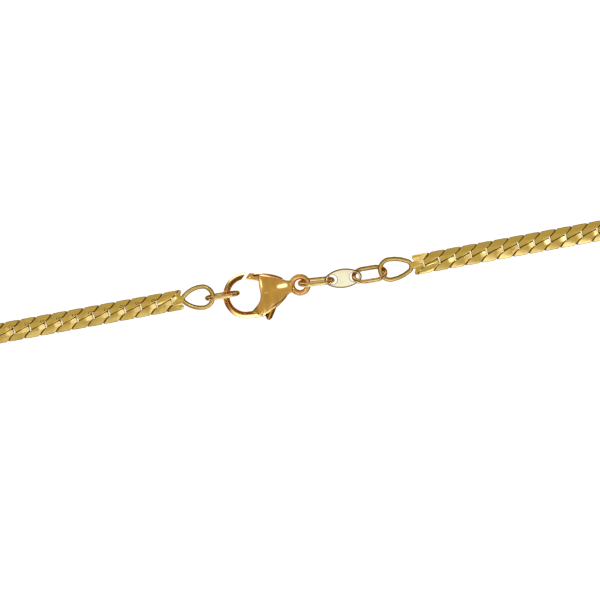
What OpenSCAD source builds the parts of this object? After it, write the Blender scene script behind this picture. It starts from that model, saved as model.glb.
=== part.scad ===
// Gold curb chain necklace with a lobster clasp, lying flat in one closed loop.
// Seen from above, the clasp is at the top of the loop (+Y) and the chain runs
// out to both sides of it, down and round. Everything rests on the plane z = 0.
// Millimetres, +Z up, origin at the middle of the underside.

/* [Chain] */
// Distance from one link to the next, along the chain
link_pitch = 2.25; // [2.24:0.01:2.3]
// Width of the flat chain
chain_width = 2.8; // [2.7:0.05:3]
// Thickness of the flat chain
chain_thick = 1.1; // [1:0.05:1.4]
// Width of the flat crest along the middle of the chain
crest_width = 1.1; // [0.8:0.1:1.6]
// How far the bevels drop from the crest to the edge of the chain
bevel_drop = 0.28; // [0.1:0.02:0.34]
// Links between the right end link and the middle of the bottom
links_right = 92; // [90:1:96]
// Links between the left end link and the middle of the bottom
links_left = 92; // [90:1:96]

/* [Loop] */
// Half the straight stretch at the top of the loop, on the right
straight_right = 45; // [44:0.5:48]
// Angle that each upper corner of the loop turns through
corner_turn = 110; // [105:1:115]
// Where the first gap of the right chain lies
right_start_x = 17.42; // [17.3:0.02:17.6]
// Height of the right chain's straight line
right_line_y = -0.65; // [-0.75:0.05:-0.55]
// Where the first gap of the left chain lies
left_start_x = -18.05; // [-18.2:0.05:-17.9]
// Height of the left chain's straight line
left_line_y = 0.53; // [0.45:0.02:0.6]

/* [Rings] */
// Wire of the two end rings
end_wire = 0.54; // [0.5:0.02:0.56]
// Wire of the jump ring and of the two oval links
link_wire = 0.5; // [0.46:0.02:0.52]
// Outer length of the jump ring
jump_length = 4.9; // [4.85:0.05:4.95]
// Outer length of the oval link beside the clasp
near_length = 5.15; // [5.1:0.05:5.2]
// Outer length of the oval link beside the right end ring
far_length = 5.05; // [5:0.05:5.1]
// Outer width of the jump ring and of the oval links
link_width = 3.3; // [3.25:0.05:3.35]

/* [Tag] */
// Length of the oval tag
tag_length = 5.2; // [5.1:0.05:5.3]
// Width of the oval tag
tag_width = 2.7; // [2.5:0.05:2.8]
// Thickness of the oval tag
tag_thick = 0.45; // [0.4:0.05:0.5]
// Diameter of the hole at each end of the tag
tag_hole = 1.34; // [1.3:0.02:1.36]

/* [Clasp] */
// Greatest thickness of the domed body
clasp_thick = 2.8; // [2.6:0.1:3]
// Radius of the middle line of the hook
hook_radius = 2.75; // [2.7:0.05:2.8]
// Width of the hook, seen from above
hook_width = 0.9; // [0.8:0.05:0.95]
// Thickness of the hook
hook_thick = 1.1; // [1:0.05:1.2]
// Radius of the middle line of the eyelet
eyelet_radius = 1.13; // [1.1:0.01:1.15]
// Wire of the eyelet
eyelet_wire = 0.76; // [0.7:0.02:0.8]
// Thickness of the lever
lever_thick = 1.0; // [0.9:0.05:1]
// Diameter of the pin that the lever turns on
pin_diameter = 0.7; // [0.6:0.05:0.75]

/* [Hidden] */
$fn = 48;
eps = 0.01;

gold = "#b9994e";
clasp_gold = "#b88c3c";
pale_gold = "#e6d79b";

// Outline of a link. Its middle is the see-through gap at x = 0, and it reaches
// a little under one pitch to each side.
half_width = chain_width / 2;
half_gap = 0.12;     // half the width of the see-through gap
seam_rise = 0.36;    // how far the slanting seam rises above the middle line
seam_width = 0.18;   // room between two links along the slanting seam
layer_gap = 0.12;    // room between the upper and the lower layer
layer_thick = (chain_thick - layer_gap) / 2;
slit_near = [0.03, seam_rise + seam_width / 2 + 0.02];
slit_far = [0.86, half_width];
slit_next_near = [half_gap, 0.33];
slit_next_far = [1.16, half_width];
shoulder_share = 0.8;   // how far up the slit the rounded shoulder starts
shoulder_run = 0.29;    // how far the shoulder reaches along the edge
seam_slope = 2 * seam_rise / (link_pitch - 2 * half_gap);
end_half = seam_rise - seam_width / 2;   // half the height of a link's end
end_reach = end_half / seam_slope;       // length of the end's wedge
shoulder = slit_next_near + shoulder_share * (slit_next_far - slit_next_near);

// Last link at each end of the chain, closed by a cap whose nose the end ring is soldered to
cap_end = 1.42;
cap_shoulder_y = 1.15;
cap_notch = [1.2, 0.75];
nose_half = 0.3;

// The loop: on each side a straight run, a corner arc and half of the bottom arc.
// The right corner's radius follows from the number of links, and the left side
// then has the straight run and radius that bring it to the same lowest point.
turn_left_over = 180 - corner_turn;
run_share = 1 + turn_left_over * PI / 180 / sin(corner_turn);
drop_share = (1 + cos(corner_turn)) / sin(corner_turn);
length_right = (links_right + 0.5) * link_pitch;
length_left = (links_left + 0.5) * link_pitch;
corner_right = (length_right + right_start_x - run_share * straight_right) / PI;
drop_right = 2 * corner_right + drop_share * straight_right;
drop_left = drop_right + left_line_y - right_line_y;
straight_left = (length_left - left_start_x - PI / 2 * drop_left)
              / (run_share - PI / 2 * drop_share);
corner_left = (drop_left - drop_share * straight_left) / 2;

// Clasp, seen from above: its parts' middles, and the plane it is built on
clasp_z = clasp_thick / 2;
hook_centre = [-7.78, -0.55];
hook_tip_outer = [-7.1, 2.62];
hook_tip_inner = [-8.2, 1.55];
hook_start_turn = 70;
hook_sweep = 235;
hook_chamfer = 0.22;
eyelet_centre = [-0.1, -0.45];
pivot = [-3.3, -0.45];
slot_clear = 0.1;
pin_clear = 0.05;
boss_radius = 0.75;
dome_radius = 5;
dome_y = -0.75;

// Middle heights of the upright and tilted pieces
ring_lift = 1.3;
jump_tilt = 83;
near_tilt = 77;
far_tilt = 52;
tag_z = 1.35;

// Shift that brings the middle of the underside to the origin
loop_right_x = straight_right + corner_right + half_width;
loop_left_x = -(straight_left + corner_left + half_width);
loop_bottom_y = right_line_y - drop_right - half_width;
loop_top_y = hook_centre[1] + hook_radius + hook_width / 2;
to_middle = [-(loop_right_x + loop_left_x) / 2, -(loop_top_y + loop_bottom_y) / 2, 0];

function mirror_x(points) = [for (p = points) [-p[0], p[1]]];
function mirror_y(points) = [for (p = points) [p[0], -p[1]]];
function half_turn(points) = [for (p = points) -p];
function below(points) = [for (i = [len(points) - 1 : -1 : 0]) [points[i][0], -points[i][1]]];

function curve_point(a, b, c, d, t) =
    pow(1 - t, 3) * a + 3 * t * pow(1 - t, 2) * b + 3 * t * t * (1 - t) * c + pow(t, 3) * d;
function curve(a, b, c, d, steps) =
    [for (i = [0 : steps]) curve_point(a, b, c, d, i / steps)];

// Place and heading at a distance along one side of the loop, from its first gap
function side_place(s, start_x, line_y, straight, corner) =
    let (run = straight - start_x,
         arc = corner * corner_turn * PI / 180,
         bottom = corner + straight / sin(corner_turn),
         bottom_y = line_y - corner - straight / tan(corner_turn),
         turned = (s - run) / corner * 180 / PI,
         turned_low = corner_turn + (s - run - arc) / bottom * 180 / PI)
    s <= run ? [start_x + s, line_y, 0]
    : s <= run + arc
        ? [straight + corner * sin(turned), line_y - corner + corner * cos(turned), -turned]
        : [bottom * sin(turned_low), bottom_y + bottom * cos(turned_low), -turned_low];

function right_place(i) =
    side_place(i * link_pitch, right_start_x, right_line_y, straight_right, corner_right);
function left_place(i) =
    let (p = side_place(i * link_pitch, -left_start_x, left_line_y, straight_left, corner_left))
    [-p[0], p[1], -p[2]];

// One petal of a link: it fills the upper half between the gap before and its own gap
petal = [
    [-link_pitch + half_gap, -end_half],
    [-half_gap, seam_rise + seam_width / 2],
    slit_near,
    slit_far,
    [slit_next_far[0] - link_pitch + shoulder_run, half_width],
    [shoulder[0] - link_pitch, shoulder[1]],
    [slit_next_near[0] - link_pitch, slit_next_near[1]]
];
end_wedge = [
    [-link_pitch + half_gap, -end_half],
    [-link_pitch + half_gap + end_reach, 0],
    [-link_pitch + half_gap, end_half]
];
side_wedge = [
    [-slit_near[0], slit_near[1]],
    slit_near,
    slit_far,
    [-slit_far[0], slit_far[1]]
];

// Cap of an end link in the upper layer, and the part of it that both layers share
function cap_edge(nose) = [
    [nose, nose_half],
    cap_notch,
    [cap_end, cap_shoulder_y],
    [cap_end - 0.12, half_width - 0.04],
    [shoulder[0] + 0.17, half_width - 0.04],
    shoulder,
    slit_next_near
];
function cap_upper(nose) = concat(
    cap_edge(nose),
    [[half_gap, -slit_near[1] + 0.02], -slit_near, -slit_far, [cap_end - 0.17, -half_width],
     [cap_end, -cap_shoulder_y], [cap_notch[0], -cap_notch[1]], [nose, -nose_half]]
);
function cap_core(nose) = concat(cap_edge(nose), below(cap_edge(nose)));

module layer(level, thick, outlines) {
    translate([0, 0, level])
        for (outline = outlines)
            linear_extrude(thick) polygon(outline);
}

// Everything inside the flat crest and the bevels that run down to both edges
module bevelled(from_x, to_x) {
    half_crest = crest_width / 2;
    intersection() {
        union() children();
        translate([from_x, 0, 0])
            rotate([90, 0, 90])
                linear_extrude(to_x - from_x)
                    polygon([
                        [-half_crest, 0], [half_crest, 0],
                        [half_width, bevel_drop], [half_width, chain_thick - bevel_drop],
                        [half_crest, chain_thick], [-half_crest, chain_thick],
                        [-half_width, chain_thick - bevel_drop], [-half_width, bevel_drop]
                    ]);
    }
}

// A curb link is a flattened twisted loop: two petals above, two below, joined at
// its two ends and its two sides. The next link's end passes through its hole.
module curb_link() {
    bevelled(-link_pitch, link_pitch) {
        layer(0, layer_thick, [mirror_y(petal), mirror_x(petal)]);
        layer(layer_thick, layer_gap,
              [end_wedge, mirror_x(end_wedge), side_wedge, mirror_y(side_wedge)]);
        layer(layer_thick + layer_gap, layer_thick, [petal, half_turn(petal)]);
    }
}

// Last link of a chain, capped on its +X side by a cap with a nose of the given reach
module end_link(nose) {
    bevelled(-link_pitch, link_pitch) {
        layer(0, layer_thick, [mirror_y(petal), mirror_y(cap_upper(nose))]);
        layer(layer_thick, layer_gap, [end_wedge, side_wedge, mirror_y(side_wedge), cap_core(nose)]);
        layer(layer_thick + layer_gap, layer_thick, [petal, cap_upper(nose)]);
    }
}

module link_at(place) {
    translate([place[0], place[1], 0])
        rotate([0, 0, place[2]])
            children();
}

// Round wire bent to an arc about the Z axis, from the +X axis on
module wire_arc(bend, wire, sweep) {
    rotate_extrude(angle = sweep)
        translate([bend, 0])
            circle(d = wire);
}

// Ring with straight sides and round ends, its length along X
module oval_ring(length, width, wire) {
    bend = (width - wire) / 2;
    half_run = (length - width) / 2;
    for (side = [-1, 1]) {
        translate([side * half_run, 0, 0])
            rotate([0, 0, -side * 90])
                wire_arc(bend, wire, 180);
        translate([-half_run, side * bend, 0])
            rotate([0, 90, 0])
                cylinder(h = 2 * half_run, d = wire);
    }
}

// Egg-shaped ring, its narrow end at the origin and its wide end on the +X side.
// Length, wide radius and narrow radius are those of the wire's middle line.
module egg_ring(length, wide, narrow, wire) {
    between = length - wide - narrow;
    side_bend = (between * between + wide * wide - narrow * narrow) / (2 * (wide - narrow));
    side_sweep = atan2(between, side_bend - wide);
    translate([narrow + between, 0, 0])
        rotate([0, 0, -90])
            wire_arc(wide, wire, 180);
    for (side = [0, 1])
        mirror([0, side, 0])
            translate([narrow + between, wide - side_bend, 0])
                rotate([0, 0, 90])
                    wire_arc(side_bend, wire, side_sweep);
    translate([narrow, 0, 0])
        rotate([0, 0, 90 + side_sweep])
            wire_arc(narrow, wire, 180 - 2 * side_sweep);
}

// End ring soldered to an end link, the link's gap at the origin and the ring on +X.
// The ring rises away from the chain, so that the upright ring in it clears the table.
module soldered_end(nose, length, wide, narrow, aside) {
    rise = asin((ring_lift - chain_thick / 2) / length);
    bite = 0.12;
    end_link(nose);
    translate([nose - bite, 0, chain_thick / 2])
        rotate([0, -rise, aside])
            egg_ring(length, wide, narrow, end_wire);
}

module to_row_frame() {
    translate(to_middle) children();
}

module chain_right() {
    color(gold)
        to_row_frame()
            for (i = [1 : links_right])
                link_at(right_place(i)) curb_link();
}

module chain_left() {
    color(gold)
        to_row_frame()
            for (i = [1 : links_left])
                link_at(left_place(i)) curb_link();
}

module end_ring_left() {
    color(gold)
        to_row_frame()
            link_at([left_start_x, left_line_y, 0])
                soldered_end(1.6, 4.3, 1.48, 0.5, -4);
}

module end_ring_right() {
    color(gold)
        to_row_frame()
            link_at([right_start_x, right_line_y, 180])
                soldered_end(1.85, 4.5, 1.43, 0.8, 0);
}

// An oval ring standing on its long side and leaning by the rest of a right angle
module standing_ring(centre, length, tilt, heading) {
    bend = (link_width - link_wire) / 2;
    color(gold)
        to_row_frame()
            translate([centre[0], centre[1], bend * sin(tilt) + link_wire / 2])
                rotate([0, 0, heading])
                    rotate([-tilt, 0, 0])
                        oval_ring(length, link_width, link_wire);
}

module jump_ring() {
    standing_ring([-11, 0.03], jump_length, jump_tilt, -1);
}

module oval_link_near() {
    standing_ring([2.2, -0.45], near_length, near_tilt, -4.5);
}

module oval_link_far() {
    standing_ring([9.7, -0.8], far_length, far_tilt, -1.5);
}

// Oval outline made of two long arcs between two short ones
module tag_outline() {
    end_radius = 0.85;
    end_x = tag_length / 2 - end_radius;
    half = tag_width / 2;
    long_radius = (end_x * end_x + half * half - end_radius * end_radius)
                / (2 * (half - end_radius));
    meet_x = end_x * long_radius / (long_radius - end_radius);
    intersection() {
        translate([0, half - long_radius]) circle(r = long_radius);
        translate([0, long_radius - half]) circle(r = long_radius);
        square([2 * meet_x, tag_width + eps], center = true);
    }
    for (side = [-1, 1])
        translate([side * end_x, 0]) circle(r = end_radius);
}

module tag_plate() {
    hole_x = 1.53;
    color(pale_gold)
        to_row_frame()
            translate([6, -0.66, tag_z - tag_thick / 2])
                rotate([0, 0, -3])
                    difference() {
                        linear_extrude(tag_thick) tag_outline();
                        for (side = [-1, 1])
                            translate([side * hole_x, 0, -eps])
                                cylinder(h = tag_thick + 2 * eps, d = tag_hole);
                    }
}

// Outline of the clasp's body from above, without the hook and the eyelet
body_outline = concat(
    curve([-5.45, 1.9], [-5.75, 1.2], [-5.75, 0.4], [-5.72, -0.6], 5),
    curve([-5.72, -0.6], [-5.75, -1.9], [-6.4, -2.45], [-7.4, -2.95], 6),
    curve([-7.5, -3.74], [-6.2, -3.9], [-5.4, -3.45], [-2.5, -1.98], 7),
    curve([-2.3, -1.75], [-2.1, -1.45], [-1.8, -1.35], [-1.2, -1.3], 3),
    curve([-1.2, 0.4], [-1.7, 0.42], [-2.1, 0.45], [-2.3, 0.85], 3),
    curve([-2.4, 1.0], [-3.1, 1.5], [-4.1, 1.9], [-5.1, 2.08], 5)
);

// Half the body's thickness along its length
THICK_X = 0;
THICK_HALF = 1;
body_thickness = [
    [-7.6, 0.5],
    [-6.7, 0.95],
    [-5.8, 1.33],
    [-5.0, 1.4],
    [-4.2, 1.36],
    [-3.2, 1.15],
    [-2.3, 0.82],
    [-1.5, 0.56],
    [-0.8, 0.45]
];

module clasp_blank() {
    thickness_outline = [for (row = body_thickness) [row[THICK_X], row[THICK_HALF]]];
    intersection() {
        linear_extrude(clasp_thick) polygon(body_outline);
        translate([0, 5, clasp_z])
            rotate([90, 0, 0])
                linear_extrude(10)
                    polygon(concat(thickness_outline, below(thickness_outline)));
        for_dome(1);
        for_dome(-1);
    }
}

// Long cylinder whose crown is the body's domed face, above or below
module for_dome(side) {
    translate([-8, dome_y, clasp_z + side * (clasp_z - dome_radius)])
        rotate([0, 90, 0])
            cylinder(h = 8, r = dome_radius, $fn = 96);
}

// Section of the hook with its four corners taken off
module hook_section() {
    half_w = hook_width / 2;
    half_t = hook_thick / 2;
    inner_w = half_w - hook_chamfer;
    inner_t = half_t - hook_chamfer;
    polygon([
        [-half_w, -inner_t], [-inner_w, -half_t], [inner_w, -half_t], [half_w, -inner_t],
        [half_w, inner_t], [inner_w, half_t], [-inner_w, half_t], [-half_w, inner_t]
    ]);
}

module hook() {
    away = [1.5, -1.5];
    difference() {
        translate([hook_centre[0], hook_centre[1], clasp_z])
            rotate([0, 0, hook_start_turn])
                rotate_extrude(angle = hook_sweep)
                    translate([hook_radius, 0])
                        hook_section();
        // Slanting end face, parallel to the end of the gate
        linear_extrude(clasp_thick)
            polygon([hook_tip_outer + [0.6, 0.58], hook_tip_inner - [0.6, 0.58],
                     hook_tip_inner + away, hook_tip_outer + away]);
    }
}

// Room between the two faces of the body, in which the lever turns
module lever_slot() {
    thick = lever_thick + 2 * slot_clear;
    translate([0, 0, clasp_z - thick / 2])
        linear_extrude(thick)
            polygon([
                [-6.4, 2.8], [-4.95, 2.8], [-4.95, 1.62], [-2.35, 0.5], [-2.35, -2.8],
                [-5.1, -4.2], [-5.82, -4.2], [-5.82, -2.7], [-6.5, -2.1]
            ]);
}

module clasp_body() {
    color(clasp_gold)
        to_row_frame() {
            difference() {
                union() {
                    clasp_blank();
                    hook();
                    translate([eyelet_centre[0], eyelet_centre[1], clasp_z])
                        wire_arc(eyelet_radius, eyelet_wire, 360);
                }
                lever_slot();
            }
            translate([pivot[0], pivot[1], 0.5])
                cylinder(h = clasp_thick - 1, d = pin_diameter);
        }
}

module clasp_lever() {
    color(clasp_gold)
        to_row_frame()
            translate([0, 0, clasp_z - lever_thick / 2])
                difference() {
                    linear_extrude(lever_thick) {
                        // Gate arm
                        polygon([
                            [-6.72, 2.45], [-7.34, 1.86], [-7.3, 1.62], [-5.75, 1.15],
                            [-3.6, -1.0], [-2.85, 0.05], [-5.05, 1.42], [-5.12, 2.05]
                        ]);
                        // Thumb arm
                        polygon([
                            [-4.0, -0.6], [-5.2, -3.0], [-5.65, -3.75], [-5.5, -4.35], [-5.2, -4.55],
                            [-4.75, -4.3], [-4.0, -3.15], [-3.2, -1.7], [-2.7, -0.8]
                        ]);
                        translate(pivot) circle(r = boss_radius);
                    }
                    translate([pivot[0], pivot[1], -eps])
                        cylinder(h = lever_thick + 2 * eps, d = pin_diameter + 2 * pin_clear);
                }
}

chain_left();
chain_right();
end_ring_left();
jump_ring();
clasp_body();
clasp_lever();
oval_link_near();
tag_plate();
oval_link_far();
end_ring_right();
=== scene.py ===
"""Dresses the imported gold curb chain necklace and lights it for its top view.

Every piece is modelled in millimetres about the row frame's origin and brought to metres when
it is finished. The clasp is at the top of the loop (+Y), and the necklace rests on z = 0.
"""

import logging
import math
import random
from dataclasses import dataclass, replace
from enum import Enum
from typing import Callable, Sequence

import bmesh
import bpy
import numpy as np
from mathutils import Matrix, Vector


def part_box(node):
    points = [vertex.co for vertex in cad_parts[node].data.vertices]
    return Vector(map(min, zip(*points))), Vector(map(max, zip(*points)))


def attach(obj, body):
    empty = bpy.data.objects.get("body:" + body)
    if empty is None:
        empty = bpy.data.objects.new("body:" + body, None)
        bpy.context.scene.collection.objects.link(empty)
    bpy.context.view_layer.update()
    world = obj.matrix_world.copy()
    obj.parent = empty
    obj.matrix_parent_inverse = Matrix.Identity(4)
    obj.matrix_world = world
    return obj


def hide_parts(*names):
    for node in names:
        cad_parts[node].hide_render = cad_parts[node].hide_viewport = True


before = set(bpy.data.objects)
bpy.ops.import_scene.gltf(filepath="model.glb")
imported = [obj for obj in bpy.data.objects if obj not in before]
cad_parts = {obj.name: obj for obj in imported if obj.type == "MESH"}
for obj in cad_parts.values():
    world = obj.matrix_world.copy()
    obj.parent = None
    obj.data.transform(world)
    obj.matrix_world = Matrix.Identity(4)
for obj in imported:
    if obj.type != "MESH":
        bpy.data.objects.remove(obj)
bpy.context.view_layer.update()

LOG = logging.getLogger("necklace")
MM = 0.001
NECKLACE_BODY = "necklace"
LEVER_BODY = "lever"

# Degrees that the chain turns through at each upper corner of the loop.
CORNER_TURN = 110.0

Pair = tuple[float, float]
Triple = tuple[float, float, float]
Point = Pair
Colour = Triple

# Directions along and across the chain and the line of the clasp.
ALONG = Vector((1, 0, 0))
ACROSS = Vector((0, 1, 0))


class Slot(Enum):
    """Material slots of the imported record."""

    CHAIN = "chain_gold"
    RING = "ring_gold"
    CLASP = "clasp_gold"
    TAG = "tag_gold"


class Turn(Enum):
    """Which end of the chain an end piece closes."""

    LEFT = 0
    RIGHT = 180


def bezier(a: Point, b: Point, c: Point, d: Point, steps: int) -> list[Point]:
    """Points along a cubic curve, both ends included.

    Args:
        a: First point.
        b: Handle of the first point.
        c: Handle of the last point.
        d: Last point.
        steps: Number of stretches that the curve is cut into.

    Returns:
        The points, from a to d.
    """
    points = []
    for i in range(steps + 1):
        t = i / steps
        weights = ((1 - t) ** 3, 3 * t * (1 - t) ** 2, 3 * t * t * (1 - t), t ** 3)
        corners = (a, b, c, d)
        points.append(tuple(sum(w * p[k] for w, p in zip(weights, corners)) for k in (0, 1)))
    return points


def height_at(line: Sequence[Point], x: float | np.ndarray) -> float | np.ndarray:
    """Height of a broken line, given by its corners, at one place along it or at many."""
    return np.interp(x, [corner[0] for corner in line], [corner[1] for corner in line])


def half_turned(points: Sequence[Point]) -> list[Point]:
    """The same outline after half a turn about the origin."""
    return [(-x, -y) for x, y in points]


def joined(*runs: Sequence[Point], least: float = 0.01) -> list[Point]:
    """One closed outline from several runs, without the points that fall on each other.

    Args:
        runs: Runs of points, in order round the outline.
        least: Points closer than this, in millimetres, become one.

    Returns:
        The outline's points.
    """
    outline: list[Point] = []
    for point in (p for run in runs for p in run):
        if not outline or math.dist(point, outline[-1]) > least:
            outline.append(point)
    if math.dist(outline[0], outline[-1]) <= least:
        outline.pop()
    return outline


class Bench:
    """Modelling operators that shape one mesh at a time."""

    WIRE_SIDES = 24
    WIRE_FLATNESS = 0.82
    BEND_STEP = 9.0
    DOUBLES = 0.001
    WIRE_DOUBLES = 0.005
    CUT_TOLERANCE = 0.0005

    @staticmethod
    def clear() -> None:
        """Leaves edit mode and deselects everything."""
        if bpy.context.mode != "OBJECT":
            bpy.ops.object.mode_set(mode="OBJECT")
        bpy.ops.object.select_all(action="DESELECT")

    @staticmethod
    def take(piece: bpy.types.Object) -> None:
        """Selects one piece alone and makes it the active one.

        Args:
            piece: The piece.
        """
        Bench.clear()
        piece.select_set(True)
        bpy.context.view_layer.objects.active = piece

    @staticmethod
    def named(name: str) -> bpy.types.Object:
        """Gives the new primitive its name.

        Args:
            name: The name.

        Returns:
            The primitive.
        """
        piece = bpy.context.active_object
        piece.name = name
        piece.data.name = name
        return piece

    @staticmethod
    def pick(piece: bpy.types.Object, mode: str, test: Callable) -> int:
        """Selects parts of a mesh in edit mode by a test of each.

        Args:
            piece: The piece to select in.
            mode: VERT, EDGE or FACE.
            test: Takes one vertex, edge or face and says whether it is selected.

        Returns:
            How many are selected.
        """
        Bench.take(piece)
        bpy.ops.object.mode_set(mode="EDIT")
        bpy.ops.mesh.select_mode(type=mode)
        bpy.ops.mesh.select_all(action="DESELECT")
        mesh = bmesh.from_edit_mesh(piece.data)
        group = {"VERT": mesh.verts, "EDGE": mesh.edges, "FACE": mesh.faces}[mode]
        count = 0
        for item in group:
            chosen = bool(test(item))
            item.select_set(chosen)
            count += chosen
        mesh.select_flush_mode()
        bmesh.update_edit_mesh(piece.data)
        return count

    @staticmethod
    def shape(piece: bpy.types.Object, move: Callable[[Vector], Vector]) -> None:
        """Moves every vertex to where a function puts it.

        Args:
            piece: The piece to shape.
            move: Takes a vertex's place and returns its new one.
        """
        Bench.clear()
        for vertex in piece.data.vertices:
            vertex.co = move(vertex.co.copy())

    @staticmethod
    def plate(name: str, outline: Sequence[Point], low: float, high: float) -> bpy.types.Object:
        """A flat plate of any outline.

        Args:
            name: Name of the piece.
            outline: Corners of the outline, seen from above.
            low: Height of the underside.
            high: Height of the upper side.

        Returns:
            The plate, closed on all sides.
        """
        Bench.clear()
        bpy.ops.mesh.primitive_circle_add(vertices=len(outline), fill_type="NGON")
        piece = Bench.named(name)
        for vertex, (x, y) in zip(piece.data.vertices, outline):
            vertex.co = (x, y, low)
        bpy.ops.object.mode_set(mode="EDIT")
        bpy.ops.mesh.select_all(action="SELECT")
        bpy.ops.mesh.extrude_region_move(TRANSFORM_OT_translate={"value": (0, 0, high - low)})
        bpy.ops.mesh.select_all(action="SELECT")
        bpy.ops.mesh.normals_make_consistent(inside=False)
        bpy.ops.object.mode_set(mode="OBJECT")
        return piece

    @staticmethod
    def fold(piece: bpy.types.Object, across: Vector, places: Sequence[float]) -> None:
        """Cuts a piece along parallel lines, so that it can be folded there.

        Args:
            piece: The piece to cut.
            across: Direction across the lines.
            places: How far along that direction each line lies.
        """
        for place in places:
            Bench.take(piece)
            bpy.ops.object.mode_set(mode="EDIT")
            bpy.ops.mesh.select_all(action="SELECT")
            bpy.ops.mesh.bisect(
                plane_co=across * place, plane_no=across, threshold=Bench.CUT_TOLERANCE
            )
        Bench.clear()

    @staticmethod
    def chamfer(
        piece: bpy.types.Object, width: float, steps: int, test: Callable[[object], bool]
    ) -> None:
        """Bevels the edges that a test picks.

        Args:
            piece: The piece to bevel.
            width: Width of the bevel.
            steps: Number of faces across it.
            test: Takes one edge and says whether it is bevelled.
        """
        if Bench.pick(piece, "EDGE", test):
            bpy.ops.mesh.bevel(offset=width, segments=steps, affect="EDGES", clamp_overlap=True)
        Bench.clear()

    @staticmethod
    def modify(piece: bpy.types.Object, kind: str, **settings: object) -> None:
        """Adds one modifier with its settings and applies it.

        Args:
            piece: The piece that gets it.
            kind: The modifier's type.
            settings: Its properties.
        """
        Bench.take(piece)
        modifier = piece.modifiers.new(kind.title(), kind)
        for key, value in settings.items():
            setattr(modifier, key, value)
        bpy.ops.object.modifier_apply(modifier=modifier.name)

    @staticmethod
    def round_edges(piece: bpy.types.Object, width: float, steps: int) -> None:
        """Rounds all the sharp edges of a piece."""
        Bench.modify(
            piece, "BEVEL", width=width, segments=steps, limit_method="ANGLE", use_clamp_overlap=True
        )

    @staticmethod
    def combine(piece: bpy.types.Object, other: bpy.types.Object, operation: str) -> None:
        """Joins, cuts or crosses a piece with another solid, which is used up."""
        Bench.modify(piece, "BOOLEAN", object=other, operation=operation, solver="EXACT")
        bpy.data.objects.remove(other, do_unlink=True)

    @staticmethod
    def join(pieces: Sequence[bpy.types.Object]) -> bpy.types.Object:
        """Makes several pieces one object, as they are.

        Args:
            pieces: The pieces to join.

        Returns:
            The first of them, which now holds them all.
        """
        Bench.clear()
        for piece in pieces:
            piece.select_set(True)
        bpy.context.view_layer.objects.active = pieces[0]
        bpy.ops.object.join()
        return pieces[0]

    @staticmethod
    def weld(piece: bpy.types.Object, threshold: float = DOUBLES) -> None:
        """Merges doubled vertices and turns all faces outwards.

        Args:
            piece: The piece to mend.
            threshold: Distance below which two vertices are one.
        """
        Bench.take(piece)
        bpy.ops.object.mode_set(mode="EDIT")
        bpy.ops.mesh.select_all(action="SELECT")
        bpy.ops.mesh.remove_doubles(threshold=threshold)
        bpy.ops.mesh.normals_make_consistent(inside=False)
        Bench.clear()

    @staticmethod
    def rod(
        name: str, radius: float, depth: float, middle: Sequence[float], sides: int
    ) -> bpy.types.Object:
        """An upright cylinder.

        Args:
            name: Name of the piece.
            radius: Its radius.
            depth: Its height.
            middle: x, y and z of its middle.
            sides: Number of its sides.

        Returns:
            The cylinder.
        """
        Bench.clear()
        bpy.ops.mesh.primitive_cylinder_add(
            vertices=sides, radius=radius, depth=depth, location=middle
        )
        piece = Bench.named(name)
        bpy.ops.object.transform_apply(location=True, rotation=True, scale=True)
        return piece

    @staticmethod
    def bent_wire(name: str, wire: float, start: Point, moves: Sequence[tuple]) -> bpy.types.Object:
        """A closed ring of slightly flattened wire in the XY plane.

        Args:
            name: Name of the piece.
            wire: Diameter of the wire.
            start: Where the wire starts. It leaves along +Y.
            moves: ("run", x, y) for a straight stretch, ("bend", x, y, degrees) for an arc
                about a centre.

        Returns:
            The ring.
        """
        Bench.clear()
        half = wire / 2
        bpy.ops.mesh.primitive_circle_add(
            vertices=Bench.WIRE_SIDES, radius=half, location=(*start, 0), rotation=(math.pi / 2, 0, 0)
        )
        piece = Bench.named(name)
        bpy.ops.object.transform_apply(location=True, rotation=True, scale=True)

        def flatter(place: Vector) -> Vector:
            """Draws the round section towards its corners, so that its sides are flatter."""
            x, z = (
                math.copysign(abs(away) ** Bench.WIRE_FLATNESS, away)
                for away in ((place.x - start[0]) / half, place.z / half)
            )
            return Vector((start[0] + x * half, place.y, z * half))

        Bench.shape(piece, flatter)
        Bench.take(piece)
        bpy.ops.object.mode_set(mode="EDIT")
        bpy.ops.mesh.select_all(action="SELECT")
        for kind, x, y, *angle in moves:
            if kind == "run":
                bpy.ops.mesh.extrude_region_move(TRANSFORM_OT_translate={"value": (x, y, 0)})
            else:
                steps = max(2, round(abs(angle[0]) / Bench.BEND_STEP))
                bpy.ops.mesh.spin(
                    steps=steps, angle=-math.radians(angle[0]), center=(x, y, 0), axis=(0, 0, 1)
                )
        Bench.weld(piece, Bench.WIRE_DOUBLES)
        return piece

    @staticmethod
    def smooth(piece: bpy.types.Object, angle: float) -> None:
        """Shades a piece smooth, but for edges sharper than an angle in degrees."""
        Bench.take(piece)
        bpy.ops.object.shade_smooth_by_angle(angle=math.radians(angle))

    @staticmethod
    def faces(piece: bpy.types.Object, measure: str) -> np.ndarray:
        """Reads the faces of a piece.

        Args:
            piece: The piece.
            measure: What is read of each face, its "normal" or its "center".

        Returns:
            x, y and z of it, a row for each face.
        """
        values = np.empty(3 * len(piece.data.polygons))
        piece.data.polygons.foreach_get(measure, values)
        return values.reshape(-1, 3)

    @staticmethod
    def place(piece: bpy.types.Object, *steps: Matrix) -> None:
        """Moves a piece's mesh by matrices, the first of them first."""
        for step in steps:
            piece.data.transform(step)

    @staticmethod
    def settle(piece: bpy.types.Object) -> None:
        """Brings a finished piece from millimetres to metres.

        Args:
            piece: The piece.
        """
        Bench.clear()
        piece.data.transform(Matrix.Scale(MM, 4))
        piece.data.update()


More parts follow.
